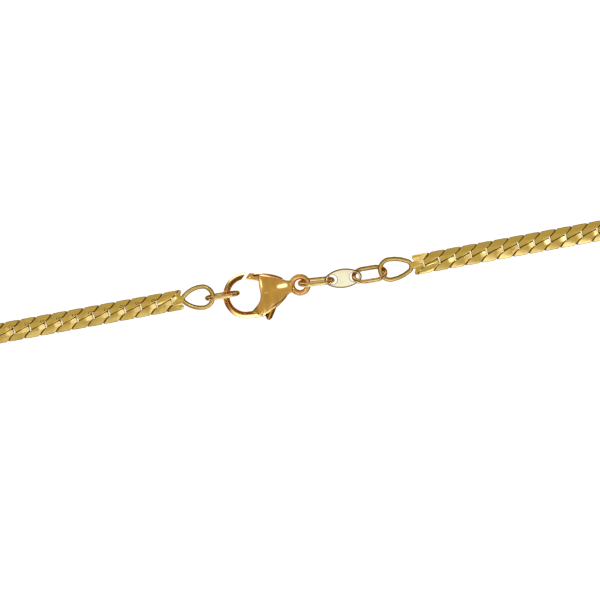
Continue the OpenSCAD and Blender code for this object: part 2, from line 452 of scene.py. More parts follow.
class Signal:
    """A shader socket that can be reckoned with in Python expressions."""

    def __init__(self, dye: "Dye", socket: bpy.types.NodeSocket) -> None:
        """Wraps an output socket of a node."""
        self.dye = dye
        self.socket = socket

    def _math(self, operation: str, *values: object) -> "Signal":
        """Adds a Math node of that operation."""
        return self.dye.node("ShaderNodeMath", {"operation": operation}, dict(enumerate(values)))

    def __add__(self, other: object) -> "Signal":
        """This value plus another."""
        return self._math("ADD", self, other)

    def __sub__(self, other: object) -> "Signal":
        """This value less another."""
        return self._math("SUBTRACT", self, other)

    def __mul__(self, other: object) -> "Signal":
        """This value times another."""
        return self._math("MULTIPLY", self, other)

    def size(self) -> "Signal":
        """This value without its sign."""
        return self._math("ABSOLUTE", self)

    def ramp(self, low: float, high: float, start: float = 0, end: float = 1) -> "Signal":
        """A smooth step from start to end as this value goes from low to high.

        Args:
            low: Value at which the step begins.
            high: Value at which it ends.
            start: What it gives up to low.
            end: What it gives from high on.

        Returns:
            The step.
        """
        values = {"Value": self, "From Min": low, "From Max": high, "To Min": start, "To Max": end}
        settings = {"interpolation_type": "SMOOTHSTEP"}
        return self.dye.node("ShaderNodeMapRange", settings, values)


class Dye:
    """Node tree of one material or world."""

    def __init__(self, tree: bpy.types.NodeTree) -> None:
        """Starts from an empty tree."""
        self.tree = tree
        tree.nodes.clear()

    def node(self, kind: str, settings: dict, values: dict, output: object = 0) -> Signal:
        """Adds one node.

        Args:
            kind: The node's type.
            settings: Properties that are set before its sockets.
            values: Socket name or number to a value or a Signal.
            output: Name or number of the output that is returned.

        Returns:
            The chosen output.
        """
        made = self.tree.nodes.new(kind)
        for key, value in settings.items():
            setattr(made, key, value)
        for key, value in values.items():
            if isinstance(value, Signal):
                self.tree.links.new(value.socket, made.inputs[key])
            else:
                made.inputs[key].default_value = value
        return Signal(self, made.outputs[output]) if made.outputs else Signal(self, None)

    def blend(self, share: Signal, first: object, second: object) -> Signal:
        """A colour between two.

        Args:
            share: 0 for the first colour, 1 for the second.
            first: A colour, as numbers or as a Signal.
            second: The other one.

        Returns:
            The colour.
        """
        ends = [end if isinstance(end, Signal) else (*end, 1) for end in (first, second)]
        values = {0: share, 6: ends[0], 7: ends[1]}
        return self.node("ShaderNodeMix", {"data_type": "RGBA"}, values, 2)

    def noise(self, place: Signal, size: float, detail: float) -> Signal:
        """Cloudy noise.

        Args:
            place: Where it is read, in metres.
            size: About how wide its patches are, in millimetres.
            detail: How many finer layers it has.

        Returns:
            The noise, about 0.5.
        """
        values = {"Vector": place, "Scale": 1 / (size * MM), "Detail": detail, "Roughness": 0.5}
        return self.node("ShaderNodeTexNoise", {}, values)


@dataclass(frozen=True)
class GoldFinish:
    """Polished gold with faint waves, brushing and rub marks, and painted shade and painted dark
    reflections where a face attribute marks them.

    Attributes:
        name: Name of the material.
        base: Colour of the clean metal.
        deep: Colour of its duller patches.
        shade: Colour of the painted shade on slits, far wire sides and rims, and of the painted dark
            reflection lines.
        roughness: Roughness of the clean metal.
        rub: How much rougher the rubbed patches are.
        wave_size: Distance between the surface's slow waves, in millimetres.
        wave_depth: Depth of those waves, in millimetres.
        brush_depth: Depth of the fine brushing, in millimetres.
        brush_size: Distance between brush marks, in millimetres.
        brush_stretch: How the brush marks are drawn out along x, y and z.
        patch_size: Distance between the duller patches, in millimetres.
        patch_limits: Values of the noise between which a patch fades in.
        patch_share: Share of the deep colour in them.
        shade_share: Share of the shade colour where the painted shade is full.
        shade_rough: How much rougher the faces with painted shade are.
    """

    name: str
    base: Colour
    deep: Colour
    # The chain's slits take this default colour for their painted shade.
    shade: Colour = (0.26, 0.14, 0.02)
    roughness: float = 0.13
    rub: float = 0.12
    wave_size: float = 1.6
    wave_depth: float = 0.009
    brush_depth: float = 0.0003
    brush_size: float = 0.06
    brush_stretch: Triple = (0.12, 1.0, 0.5)
    patch_size: float = 2.3
    patch_limits: Pair = (0.42, 0.68)
    patch_share: float = 0.6
    shade_share: float = 0.85
    shade_rough: float = 0.3

    def material(self) -> bpy.types.Material:
        """Builds the material.

        Returns:
            The new material.
        """
        material = bpy.data.materials.new(self.name)
        material.use_nodes = True
        dye = Dye(material.node_tree)
        place = dye.node("ShaderNodeTexCoord", {}, {}, "Object")
        waves = dye.noise(place, self.wave_size, detail=1.0)
        patches = dye.noise(place, self.patch_size, detail=3.0).ramp(*self.patch_limits)
        along = dye.node("ShaderNodeMapping", {}, {"Vector": place, "Scale": self.brush_stretch})
        brushing = dye.noise(along, self.brush_size, detail=2.0)
        height = waves * (self.wave_depth * MM) + brushing * (self.brush_depth * MM)
        bump = dye.node("ShaderNodeBump", {}, {"Height": height, "Strength": 1.0, "Distance": 1.0})
        # Painted shade and painted dark reflections, read from a face attribute: 0 where there is
        # none.
        painted_shade = dye.node("ShaderNodeAttribute", {"attribute_name": "painted_shade"}, {}, "Fac")
        clean = dye.blend(patches * self.patch_share, self.base, self.deep)
        values = {
            "Base Color": dye.blend(painted_shade * self.shade_share, clean, self.shade),
            "Metallic": 1.0,
            "Roughness": patches * self.rub + painted_shade * self.shade_rough + self.roughness,
            "Normal": bump,
        }
        surface = dye.node("ShaderNodeBsdfPrincipled", {}, values)
        dye.node("ShaderNodeOutputMaterial", {}, {"Surface": surface})
        return material


class Finishes:
    """The necklace's finishes, each made once."""

    def __init__(self) -> None:
        """Makes the materials."""
        finishes = {
            Slot.CHAIN: GoldFinish(
                name="gold_chain",
                base=(0.93, 0.66, 0.19),
                deep=(0.82, 0.55, 0.14),
                wave_size=1.1,
            ),
            Slot.RING: GoldFinish(
                name="gold_wire",
                base=(1.0, 0.75, 0.29),
                deep=(0.95, 0.66, 0.2),
                # Colour of the painted shade down the wires' sides.
                shade=(0.56, 0.25, 0.03),
                roughness=0.09,
                rub=0.05,
                wave_depth=0.004,
                brush_depth=0.0001,
            ),
            Slot.CLASP: GoldFinish(
                name="gold_clasp",
                base=(0.9, 0.53, 0.153),
                deep=(0.86, 0.495, 0.135),
                # Colour of the painted dark reflection lines on the clasp.
                shade=(0.1, 0.04, 0.006),
                roughness=0.1,
                rub=0.06,
                wave_size=3.0,
                wave_depth=0.006,
                brush_depth=0.0002,
            ),
            Slot.TAG: GoldFinish(
                name="gold_tag",
                base=(0.95, 0.86, 0.51),
                deep=(0.95, 0.84, 0.46),
                # Colour of the painted shade on the tag's rims.
                shade=(0.38, 0.2, 0.02),
                roughness=0.12,
                rub=0.05,
                wave_depth=0.001,
            ),
        }
        self.by_slot = {slot: finish.material() for slot, finish in finishes.items()}

    def dress(self, piece: bpy.types.Object, slot: Slot) -> None:
        """Gives a piece the finish of a slot.

        Args:
            piece: The piece.
            slot: Its material slot.
        """
        piece.data.materials.clear()
        piece.data.materials.append(self.by_slot[slot])


@dataclass
class CurbLink:
    """Flat faceted curb link: two petals above, two below, joined at ends and sides.

    The middle of the link is the see-through gap at x = 0. Sizes are in millimetres.

    Attributes:
        pitch: Distance from link to link.
        width: Width of the chain.
        thick: Its thickness.
        crest: Width of the petals' flat top.
        bevel_drop: How far a petal falls from there to the chain's edge.
        dive: How far a petal dives under its neighbour.
        tuck: How far it is tucked down beside the seam.
        gap: Width of the see-through gap.
        gap_lean: How far the gap's ends lean aside.
        seam: Width of the seam between neighbouring petals.
        slit: Width of the slits in the chain's edges.
        slit_top: Where the upper slit meets the edge.
        layer: Thickness of one petal.
        edge: Width of the petals' rounded rims.
        bead: True for a link with beads of solder.
    """

    pitch: float = 2.25
    width: float = 2.8
    thick: float = 1.1
    crest: float = 1.1
    bevel_drop: float = 0.28
    dive: float = 0.19
    tuck: float = 0.13
    gap: float = 0.16
    gap_lean: float = 0.06
    seam: float = 0.08
    slit: float = 0.2
    slit_top: float = 1.08
    layer: float = 0.5
    edge: float = 0.11
    bead: bool = False

    # Length over which a petal dives, how hollow its bevel is, and how the tuck fades along it.
    DIVE_RUN = 1.25
    HOLLOW = 0.24
    TUCK_LEAST = 0.35
    TUCK_FADE = 2.0
    # Edge between neighbouring petals, from left to right across the middle of the link.
    SEAM_LINE = ((-1.92, -0.25), (-1.6, -0.175), (-1.125, 0.0), (-0.65, 0.175), (-0.33, 0.285))
    # Extra lines along and across the upper petals, so that their facets bend softly.
    LONG_FOLDS = (-0.95, 0.95)
    CROSS_FOLDS = (-1.75, -1.35, -1.05)
    # x, y and radius of the solder beads, how flat they are and how deep they sit.
    BEADS = ((-0.42, 0.58, 0.22), (-0.04, 0.62, 0.17))
    BEAD_FLAT = 0.7
    BEAD_SINK = 0.13
    # A face is in a slit when it lies this far inside the chain's edge and is steeper than this,
    # or at a height between these shares of the thickness.
    SLIT_INSIDE = 0.1
    SLIT_STEEP = 0.5
    SLIT_HEIGHTS = (0.38, 0.62)

    def facet(self, x: float, y: float) -> float:
        """How far the upper left petal lies below its highest place.

        Args:
            x: A place along the chain.
            y: The same place across it.

        Returns:
            Depth there: the bevel's fall beyond the crest, the dive and the tuck.
        """
        half = self.crest / 2
        side = max(0.0, abs(y) - half) / (self.width / 2 - half)
        side *= 1 - self.HOLLOW + self.HOLLOW * side
        along = min(1.0, max(0.0, (x + self.pitch) / self.DIVE_RUN))
        sunk = self.dive * along
        fade = min(1.0, self.TUCK_LEAST + self.TUCK_FADE * (1 - along))
        tuck = self.tuck * max(0.0, half - y) * fade
        return self.bevel_drop * side + sunk * (1 - 0.5 * side) + tuck

    def slit_line(self, shift: float) -> list[Point]:
        """The upper slit's middle line, moved along x by a shift."""
        points = bezier((0.06, 0.47), (0.42, 0.72), (0.8, 0.95), (self.slit_top, 1.4), 5)
        return [(x + shift, y) for x, y in points]

    def petal(self) -> list[Point]:
        """Outline of the upper left petal of the upper layer.

        Returns:
            Its corners, anticlockwise.
        """
        top, half, lean = self.width / 2, self.gap / 2, self.gap_lean
        start, seam, slit = -self.pitch, self.seam / 2, self.slit / 2
        seam_line = [(x, y + seam) for x, y in self.SEAM_LINE]
        right = self.slit_line(-slit)
        left = self.slit_line(slit - self.pitch)[::-1]
        shoulder = bezier(
            (left[0][0] + 0.42, top),
            (left[0][0] + 0.12, top + 0.01),
            (left[0][0] - 0.04, top - 0.08),
            left[1],
            3,
        )
        return joined(
            [(start + half + lean * 0.4, -0.1), (start + half + 0.1, -0.17)],
            seam_line,
            [(-0.22, 0.39), (-half - lean, 0.42)],
            right[:-1],
            [(right[-1][0], top - 0.03)],
            [((right[-1][0] + shoulder[0][0]) / 2, top + 0.02)],
            shoulder,
            left[1:-1],
            [(start + half - lean, 0.36)],
        )

    def plain_petal(self) -> list[Point]:
        """The same petal with fewer corners and a wider gap, for the lower layer.

        Returns:
            Its corners, anticlockwise.
        """
        half, top, start = 0.12, self.width / 2, -self.pitch
        slit = self.slit / 2
        return [
            (start + half, -0.275),
            (-half, 0.285),
            (-half, 0.43),
            (0.06 - slit, 0.47),
            (0.62 - slit, 0.86),
            (self.slit_top - slit, top),
            (self.slit_top - self.pitch + slit + 0.4, top),
            (self.slit_top - self.pitch + slit - 0.05, top - 0.16),
            (0.62 - self.pitch + slit, 0.86),
            (start + half, 0.45),
        ]

    def layer_plate(self, name: str, outline: Sequence[Point], edge: float) -> bpy.types.Object:
        """One petal of the upper layer, folded along the crest and rounded above.

        Args:
            name: Name of the piece.
            outline: Its outline.
            edge: Width of its rounded rim, or 0.

        Returns:
            The petal.
        """
        low = self.thick - self.layer
        piece = Bench.plate(name, outline, low, self.thick)
        Bench.fold(piece, ACROSS, (-self.crest / 2, self.crest / 2))
        if edge:
            Bench.fold(piece, ACROSS, self.LONG_FOLDS)
            Bench.fold(piece, ALONG, self.CROSS_FOLDS)

        def drop(place: Vector) -> Vector:
            """Lowers a place of the upper side to its facet."""
            if place.z > low + 0.01:
                place.z -= self.facet(place.x, place.y)
            return place

        Bench.shape(piece, drop)
        if edge:
            Bench.chamfer(piece, edge, steps=2, test=self.is_rim)
        return piece

    @staticmethod
    def is_rim(edge: object) -> bool:
        """Tells the upper rim of a petal.

        Args:
            edge: An edge of its mesh.

        Returns:
            True for an edge between an upper face and a side face.
        """
        if len(edge.link_faces) != 2:
            return False
        steep, flat = 0.4, 0.7
        side, upper = sorted((face.normal.z for face in edge.link_faces), key=abs)
        return abs(side) < steep and upper > flat

    @staticmethod
    def half_turn(piece: bpy.types.Object) -> bpy.types.Object:
        """A copy of a petal, turned half round the link's upright axis.

        Args:
            piece: The petal, which stays as it is.

        Returns:
            The copy.
        """
        copy = piece.copy()
        copy.data = piece.data.copy()
        bpy.context.scene.collection.objects.link(copy)
        Bench.place(copy, Matrix.Rotation(math.pi, 4, "Z"))
        return copy

    def turned_over(self, piece: bpy.types.Object) -> bpy.types.Object:
        """Turns a petal half round the chain's line, to the lower layer, and returns it."""
        Bench.place(piece, Matrix.Rotation(math.pi, 4, "X"), Matrix.Translation((0, 0, self.thick)))
        return piece

    def bridges(self) -> list[bpy.types.Object]:
        """The pieces of metal that join the two layers at the sides and at the ends.

        Returns:
            Two pieces for the sides, then two for the ends.
        """
        top = self.width / 2
        side = [(-0.03, 0.55), (0.03, 0.55), (0.95, top - 0.03), (-0.95, top - 0.03)]
        tip = [(-self.pitch + 0.15, -0.2), (-self.pitch + 0.75, -0.05), (-self.pitch + 0.15, 0.2)]
        return [
            Bench.plate(name, outline, low, self.thick - low)
            for name, shape, low in (("side", side, 0.45), ("tip", tip, self.layer - 0.06))
            for outline in (shape, half_turned(shape))
        ]

    def slit_shade(self, piece: bpy.types.Object) -> np.ndarray:
        """Finds the faces down in the slits, which get painted shade.

        Args:
            piece: A link about the origin.

        Returns:
            1 for each face in a slit, 0 for the others.
        """
        centre, normal = Bench.faces(piece, "center"), Bench.faces(piece, "normal")
        inside = np.abs(centre[:, 1]) < self.width / 2 - self.SLIT_INSIDE
        steep = np.abs(normal[:, 2]) < self.SLIT_STEEP
        low, high = (share * self.thick for share in self.SLIT_HEIGHTS)
        deep = (centre[:, 2] > low) & (centre[:, 2] < high)
        return (inside & (steep | deep)).astype(float)

    def build(self) -> bpy.types.Object:
        """Models one link.

        Returns:
            The link, as one closed mesh in millimetres.
        """
        link = self.layer_plate("curb_link", self.petal(), self.edge)
        under = self.layer_plate("under", self.plain_petal(), 0)
        others = [self.half_turn(link), self.half_turn(under), under]
        for piece in others[1:]:
            self.turned_over(piece)
        for other in others + self.bridges():
            Bench.combine(link, other, "UNION")
        if self.bead:
            for x, y, radius in self.BEADS:
                Bench.combine(link, self.solder_bead(x, y, radius), "UNION")
        return link

    def solder_bead(self, x: float, y: float, radius: float) -> bpy.types.Object:
        """A low bead beside the gap where the link's wire was soldered.

        Args:
            x: Where it lies along the chain.
            y: Where it lies across it.
            radius: Its radius.

        Returns:
            The bead.
        """
        Bench.clear()
        bpy.ops.mesh.primitive_uv_sphere_add(segments=10, ring_count=7, radius=radius)
        bead = Bench.named("bead")
        Bench.place(bead, Matrix.Diagonal((1, 1, self.BEAD_FLAT, 1)))
        Bench.place(bead, Matrix.Translation((x, y, self.thick - self.BEAD_SINK)))
        return bead


# Painted shade on a wire's faces, darker down its sides and on its northern side: by how far its
# normal points up or down, and times by how far north.
FLANK_BY_RISE = ((0.0, 0.0), (0.33, 0.3), (0.59, 0.8), (0.81, 1.0), (0.95, 1.0), (0.985, 0.0))
FLANK_BY_NORTH = ((-0.5, 0.1), (-0.1, 0.2), (0.1, 1.0))
FLANK_SHADE = 0.95


def flanks(piece: bpy.types.Object, north: int = 1) -> np.ndarray:
    """Painted shade on each face of a wire: none on top, more down its sides, most on the northern
    side.

    Args:
        piece: The ring of wire.
        north: -1 for a ring that is turned half round later, 1 for any other.

    Returns:
        The painted shade of each face, 0 where there is none.
    """
    normal = Bench.faces(piece, "normal")
    shade_amount = FLANK_SHADE * height_at(FLANK_BY_RISE, np.abs(normal[:, 2]))
    return shade_amount * height_at(FLANK_BY_NORTH, north * normal[:, 1])


def write_painted_shade(piece: bpy.types.Object, values: np.ndarray) -> None:
    """Writes the painted shade of each face, as the attribute that the finish reads."""
    attribute = piece.data.attributes.new("painted_shade", "FLOAT", "FACE")
    attribute.data.foreach_set("value", values.astype(np.float32))


@dataclass
class ChainSide:
    """One side of the chain, from its end link to the bottom of the loop.

    Attributes:
        name: Name of the piece.
        node: The CAD node that it stands for.
        turn: Which end of the chain it starts at.
        links: Number of its links.
        start: Where its end link lies, before the shift.
        straight: How far out from the clasp its straight stretch ends.
        corner: Radius of its upper corner.
        shift: Brings a place beside the clasp to the row frame.
        seed: Start of its random draws.
        sway: Spread of the links' small tilts, in degrees.
        most_sway: The most that a link rolls, in radians.
    """

    name: str
    node: str
    turn: Turn
    links: int
    start: Point
    straight: float
    corner: float
    shift: Point
    seed: int
    sway: float = 0.9
    most_sway: float = 0.03

    def place(self, i: float, pitch: float) -> tuple[float, float, float]:
        """Where a link lies.

        Args:
            i: Number of the link, counted from the end link.
            pitch: Distance between links.

        Returns:
            x, y and heading in degrees, in the row frame.
        """
        start_x = abs(self.start[0])
        run = self.straight - start_x
        corner_turn = math.radians(CORNER_TURN)
        arc = self.corner * corner_turn
        along = i * pitch
        if along <= run:
            x, y, heading = start_x + along, self.start[1], 0.0
        elif along <= run + arc:
            turned = (along - run) / self.corner
            x = self.straight + self.corner * math.sin(turned)
            y = self.start[1] - self.corner + self.corner * math.cos(turned)
            heading = -math.degrees(turned)
        else:
            bottom = self.corner + self.straight / math.sin(corner_turn)
            centre_y = self.start[1] - self.corner - self.straight / math.tan(corner_turn)
            turned = corner_turn + (along - run - arc) / bottom
            x, y = bottom * math.sin(turned), centre_y + bottom * math.cos(turned)
            heading = -math.degrees(turned)
        if self.turn is Turn.LEFT:
            x, heading = -x, -heading
        return x + self.shift[0], y + self.shift[1], heading

    def build(self, link: bpy.types.Object, pitch: float, thick: float) -> bpy.types.Object:
        """Copies the link along this side.

        Args:
            link: The link, at the origin.
            pitch: Distance between links.
            thick: Thickness of the chain.

        Returns:
            This side of the chain as one object, each link with its own mesh.
        """
        count = len(link.data.vertices)
        corners = np.empty(count * 3)
        link.data.vertices.foreach_get("co", corners)
        corners = corners.reshape(count, 3)
        faces = [tuple(face.vertices) for face in link.data.polygons]
        # Painted shade down in the slits, the same on every link.
        shade_amount = CurbLink().slit_shade(link)
        draw = random.Random(self.seed)
        lift = Matrix.Translation((0, 0, thick / 2))
        all_corners, all_faces = [], []
        for i in range(1, self.links + 1):
            x, y, heading = self.place(i, pitch)
            draws = [math.radians(draw.gauss(0, self.sway)) for _ in range(2)]
            roll, nod = (max(-self.most_sway, min(self.most_sway, tilt)) for tilt in draws)
            sway = lift @ Matrix.Rotation(roll, 4, "X") @ Matrix.Rotation(0.5 * nod, 4, "Y")
            move = (
                Matrix.Translation((x, y, 0))
                @ Matrix.Rotation(math.radians(heading), 4, "Z")
                @ sway
                @ lift.inverted()
            )
            matrix = np.array(move)
            all_corners.append(corners @ matrix[:3, :3].T + matrix[:3, 3])
            all_faces += [tuple(k + (i - 1) * count for k in face) for face in faces]
        mesh = bpy.data.meshes.new(self.name)
        mesh.from_pydata(np.concatenate(all_corners).tolist(), [], all_faces)
        piece = bpy.data.objects.new(self.name, mesh)
        bpy.context.scene.collection.objects.link(piece)
        write_painted_shade(piece, np.tile(shade_amount, self.links))
        return piece


@dataclass
class EndPiece:
    """Last link of a side, closed by a cap, with an egg-shaped ring soldered to its nose.

    Attributes:
        name: Name of the piece.
        node: The CAD node that it stands for.
        turn: Which end of the chain it closes.
        start: Middle of the link, before the shift.
        shift: Brings a place beside the clasp to the row frame.
        nose: How far out the cap's nose is.
        length: Length of the ring along its wire's middle line.
        wide: Half the ring's width at its wide end, which is round.
        narrow: The same at its narrow end.
        aside: Degrees that the ring turns aside from the chain.
        wire: Diameter of the ring's wire.
        lift: Height of the ring's outer end.
        bite: How far the ring reaches into the nose.
        cap_end: Where the cap's shoulders end.
        level_cap: True for a flat cap with a fold along its middle.
    """

    name: str
    node: str
    turn: Turn
    start: Point
    shift: Point
    nose: float
    length: float
    wide: float
    narrow: float
    aside: float
    wire: float = 0.61
    lift: float = 1.3
    bite: float = 0.12
    cap_end: float = 1.42
    level_cap: bool = False

    # Height of a level cap, the height of what is shaped with it, where its fall to the nose
    # begins, the lines that it is folded along, and how steeply its southern and northern half
    # fall: away from the fold, then towards the nose.
    CAP_TOP = 1.02
    CAP_LOW = 0.7
    CAP_START = 0.3
    CAP_FOLDS = (-0.15, -0.05)
    SOUTH_FALL = (0.135, 0.085)
    NORTH_FALL = (0.1, 0.06)
    # How deep the core lies inside the cap, and small shifts that keep faces out of one plane.
    CORE_DEPTH = 0.31
    BASE_RISE = 0.004
    CAP_SINK = 0.003

    def ring(self, thick: float) -> bpy.types.Object:
        """The egg-shaped ring, its narrow end at the nose and rising away from the chain.

        Args:
            thick: Thickness of the chain.

        Returns:
            The ring.
        """
        between = self.length - self.wide - self.narrow
        side = (between ** 2 + self.wide ** 2 - self.narrow ** 2) / (2 * (self.wide - self.narrow))
        sweep = math.degrees(math.atan2(between, side - self.wide))
        centre = self.narrow + between
        moves = [
            ("bend", centre, 0, 90),
            ("bend", centre, self.wide - side, sweep),
            ("bend", self.narrow, 0, 180 - 2 * sweep),
            ("bend", centre, side - self.wide, sweep),
            ("bend", centre, 0, 90),
        ]
        piece = Bench.bent_wire("ring", self.wire, (centre + self.wide, 0), moves)
        rise = math.asin((self.lift - thick / 2) / self.length)
        Bench.place(
            piece,
            Matrix.Rotation(-rise, 4, "Y"),
            Matrix.Rotation(math.radians(self.aside), 4, "Z"),
            Matrix.Translation((self.nose - self.bite, 0, thick / 2)),
        )
        return piece

    def cap(self, link: CurbLink) -> list[Point]:
        """Outline of the cap beyond the last gap.

        Args:
            link: Sizes of the chain's links.

        Returns:
            Its corners, anticlockwise from its nose.
        """
        top, half, lean = link.width / 2, link.gap / 2, link.gap_lean
        right, slit = self.cap_end, link.slit / 2
        left = [(x + slit, y) for x, y in link.slit_line(0)[::-1]]
        lower = [(-x + link.slit, -y) for x, y in link.slit_line(0)[1:]]
        return joined(
            [(self.nose, 0.3), (1.22, 0.6), (right, top - 0.45), (right + 0.02, top - 0.14)],
            [(right - 0.14, top)],
            [(left[0][0] + 0.03, top)],
            left[1:-1],
            [(half - lean, 0.36), (half + lean * 0.6, -0.4)],
            lower,
            [(right - 0.14, -top), (right, -top + 0.14), (1.22, -0.6), (self.nose, -0.3)],
        )

    def tilted(self, place: Vector) -> Vector:
        """Levels the top of a cap and tilts its halves away from the fold.

        Args:
            place: A place on the cap.

        Returns:
            Where it goes.
        """
        if place.z < self.CAP_LOW:
            return place
        aside, along = self.SOUTH_FALL if place.y < sum(self.CAP_FOLDS) / 2 else self.NORTH_FALL
        sunk = aside * abs(place.y - self.CAP_FOLDS[1]) + along * (place.x - self.CAP_START)
        return Vector((place.x, place.y, min(place.z, self.CAP_TOP) - sunk))

    def build(self, link: CurbLink) -> bpy.types.Object:
        """Models the end link and its ring and brings them to their place.

        Args:
            link: Sizes of the chain's links.

        Returns:
            The end piece as one closed mesh.
        """
        petal = link.layer_plate("petal", link.petal(), link.edge)
        slopes = replace(link, bevel_drop=0.0, dive=0.0, tuck=0.0) if self.level_cap else link
        cap = slopes.layer_plate("cap", self.cap(link), link.edge)
        if self.level_cap:
            Bench.fold(cap, ACROSS, self.CAP_FOLDS)
            Bench.shape(cap, self.tilted)
        under = link.turned_over(link.layer_plate("under", link.plain_petal(), 0))
        base = link.turned_over(link.layer_plate("base", self.cap(link), 0))
        half = [(0.5, 0.9), (1.27, 1.2), (1.19, 0.58), (self.nose - 0.02, 0.27)]
        outline = [(x, -y) for x, y in half] + half[::-1]
        core = Bench.plate("core", outline, self.CORE_DEPTH, link.thick - self.CORE_DEPTH)
        Bench.place(base, Matrix.Translation((0, 0, self.BASE_RISE)))
        Bench.place(cap, Matrix.Translation((0, 0, -self.CAP_SINK)))
        *bridges, spare = link.bridges()
        for other in [cap, under, base, core] + bridges:
            Bench.combine(petal, other, "UNION")
        bpy.data.objects.remove(spare, do_unlink=True)
        # Painted shade in the slits of the end link, and down the sides of its ring, most on the
        # northern side.
        write_painted_shade(petal, link.slit_shade(petal))
        ring = self.ring(link.thick)
        write_painted_shade(ring, flanks(ring, -1 if self.turn is Turn.RIGHT else 1))
        Bench.combine(petal, ring, "UNION")
        place = Matrix.Translation((self.start[0] + self.shift[0], self.start[1] + self.shift[1], 0))
        Bench.place(petal, Matrix.Rotation(math.radians(self.turn.value), 4, "Z"), place)
        petal.name = self.name
        return petal


@dataclass
class OvalRing:
    """Oval ring of wire that stands on its long side and leans.

    Attributes:
        name: Name of the piece.
        node: The CAD node that it stands for.
        centre: Where its middle is, in the row frame.
        length: Its outer length.
        tilt: Degrees that it leans up from lying flat.
        heading: Degrees that it is turned from the line of the clasp.
        width: Its outer width.
        wire: Diameter of the wire.
        bow: How far its long sides bow outwards.
    """

    name: str
    node: str
    centre: Point
    length: float
    tilt: float
    heading: float
    width: float = 3.3
    wire: float = 0.59
    bow: float = 0.0

    def build(self) -> bpy.types.Object:
        """Models the ring and leans it.

        Returns:
            The ring in millimetres.
        """
        bend = (self.width - self.wire) / 2
        half = (self.length - self.width) / 2
        moves = [
            ("bend", half, 0, 90),
            ("run", -2 * half, 0),
            ("bend", -half, 0, 180),
            ("run", 2 * half, 0),
            ("bend", half, 0, 90),
        ]
        piece = Bench.bent_wire(self.name, self.wire, (half + bend, 0), moves)
        reach = half + bend

        def bowed(place: Vector) -> Vector:
            """Bows the long sides outwards."""
            share = max(0.0, 1 - (place.x / reach) ** 2)
            return Vector((place.x, place.y + math.copysign(self.bow * share, place.y), place.z))

        Bench.shape(piece, bowed)
        height = bend * math.sin(math.radians(self.tilt)) + self.wire / 2
        Bench.place(
            piece,
            Matrix.Rotation(math.radians(-self.tilt), 4, "X"),
            Matrix.Rotation(math.radians(self.heading), 4, "Z"),
            Matrix.Translation((*self.centre, height)),
        )
        # Painted shade down the wire's sides, most on the northern side.
        write_painted_shade(piece, flanks(piece))
        return piece


@dataclass
class OvalTag:
    """Bare oval tag with a hole at each end.

    Attributes:
        name: Name of the piece.
        node: The CAD node that it stands for.
        centre: Where its middle is, in the row frame.
        length: Its length.
        width: Its width.
        thick: Its thickness.
        hole: Diameter of its holes.
        hole_x: How far from the middle they are.
        end_radius: Radius of its ends.
        level: Height of its middle.
        heading: Degrees that it is turned from the line of the clasp.
        edge: Width of its rounded rims.
        hole_edge: Width of the holes' rounded rims.
    """

    name: str = "oval_tag"
    node: str = "tag_plate"
    centre: Point = (0.0, 0.0)
    length: float = 5.2
    width: float = 2.7
    thick: float = 0.45
    hole: float = 1.34
    hole_x: float = 1.53
    end_radius: float = 0.85
    level: float = 1.35
    heading: float = -3.0
    edge: float = 0.2
    hole_edge: float = 0.08

    END_STEPS = 12
    SIDE_STEPS = 14
    # A face is part of the flat sides when its normal points up or down further than this.
    FLAT = 0.99
    # Painted shade on the rims, by how far a face's normal points north: darkest on the northern rim.
    RIM_BY_NORTH = ((-0.2, 0.6), (0.1, 1.17))

    def outline(self) -> list[Point]:
        """The oval's outline, two long arcs between two short ones.

        Returns:
            Its corners, anticlockwise.
        """
        end_x = self.length / 2 - self.end_radius
        half = self.width / 2
        long_radius = (end_x ** 2 + half ** 2 - self.end_radius ** 2) / (
            2 * (half - self.end_radius)
        )
        reach = math.degrees(math.asin(end_x / (long_radius - self.end_radius)))
        short, long = [], []
        for i in range(self.END_STEPS + 1):
            angle = math.radians(-(90 - reach) + (180 - 2 * reach) * i / self.END_STEPS)
            short.append(
                (end_x + self.end_radius * math.cos(angle), self.end_radius * math.sin(angle))
            )
        for i in range(1, self.SIDE_STEPS):
            angle = math.radians(reach - 2 * reach * i / self.SIDE_STEPS)
            long.append(
                (long_radius * math.sin(angle), half - long_radius + long_radius * math.cos(angle))
            )
        return joined(short, long, half_turned(short), half_turned(long))

    def build(self) -> bpy.types.Object:
        """Models the tag.

        Returns:
            The tag in millimetres.
        """
        piece = Bench.plate(self.name, self.outline(), -self.thick / 2, self.thick / 2)
        Bench.round_edges(piece, self.edge, steps=4)
        for x in (-self.hole_x, self.hole_x):
            drill = Bench.rod("drill", self.hole / 2, 2.0, (x, 0, 0), sides=40)
            Bench.combine(piece, drill, "DIFFERENCE")
        Bench.round_edges(piece, self.hole_edge, steps=3)
        Bench.smooth(piece, angle=10)
        # Painted shade on the rims, darkest on the northern one.
        normal = Bench.faces(piece, "normal")
        rims = np.abs(normal[:, 2]) < self.FLAT
        write_painted_shade(piece, rims * height_at(self.RIM_BY_NORTH, normal[:, 1]))
        Bench.place(
            piece,
            Matrix.Rotation(math.radians(self.heading), 4, "Z"),
            Matrix.Translation((*self.centre, self.level)),
        )
        return piece


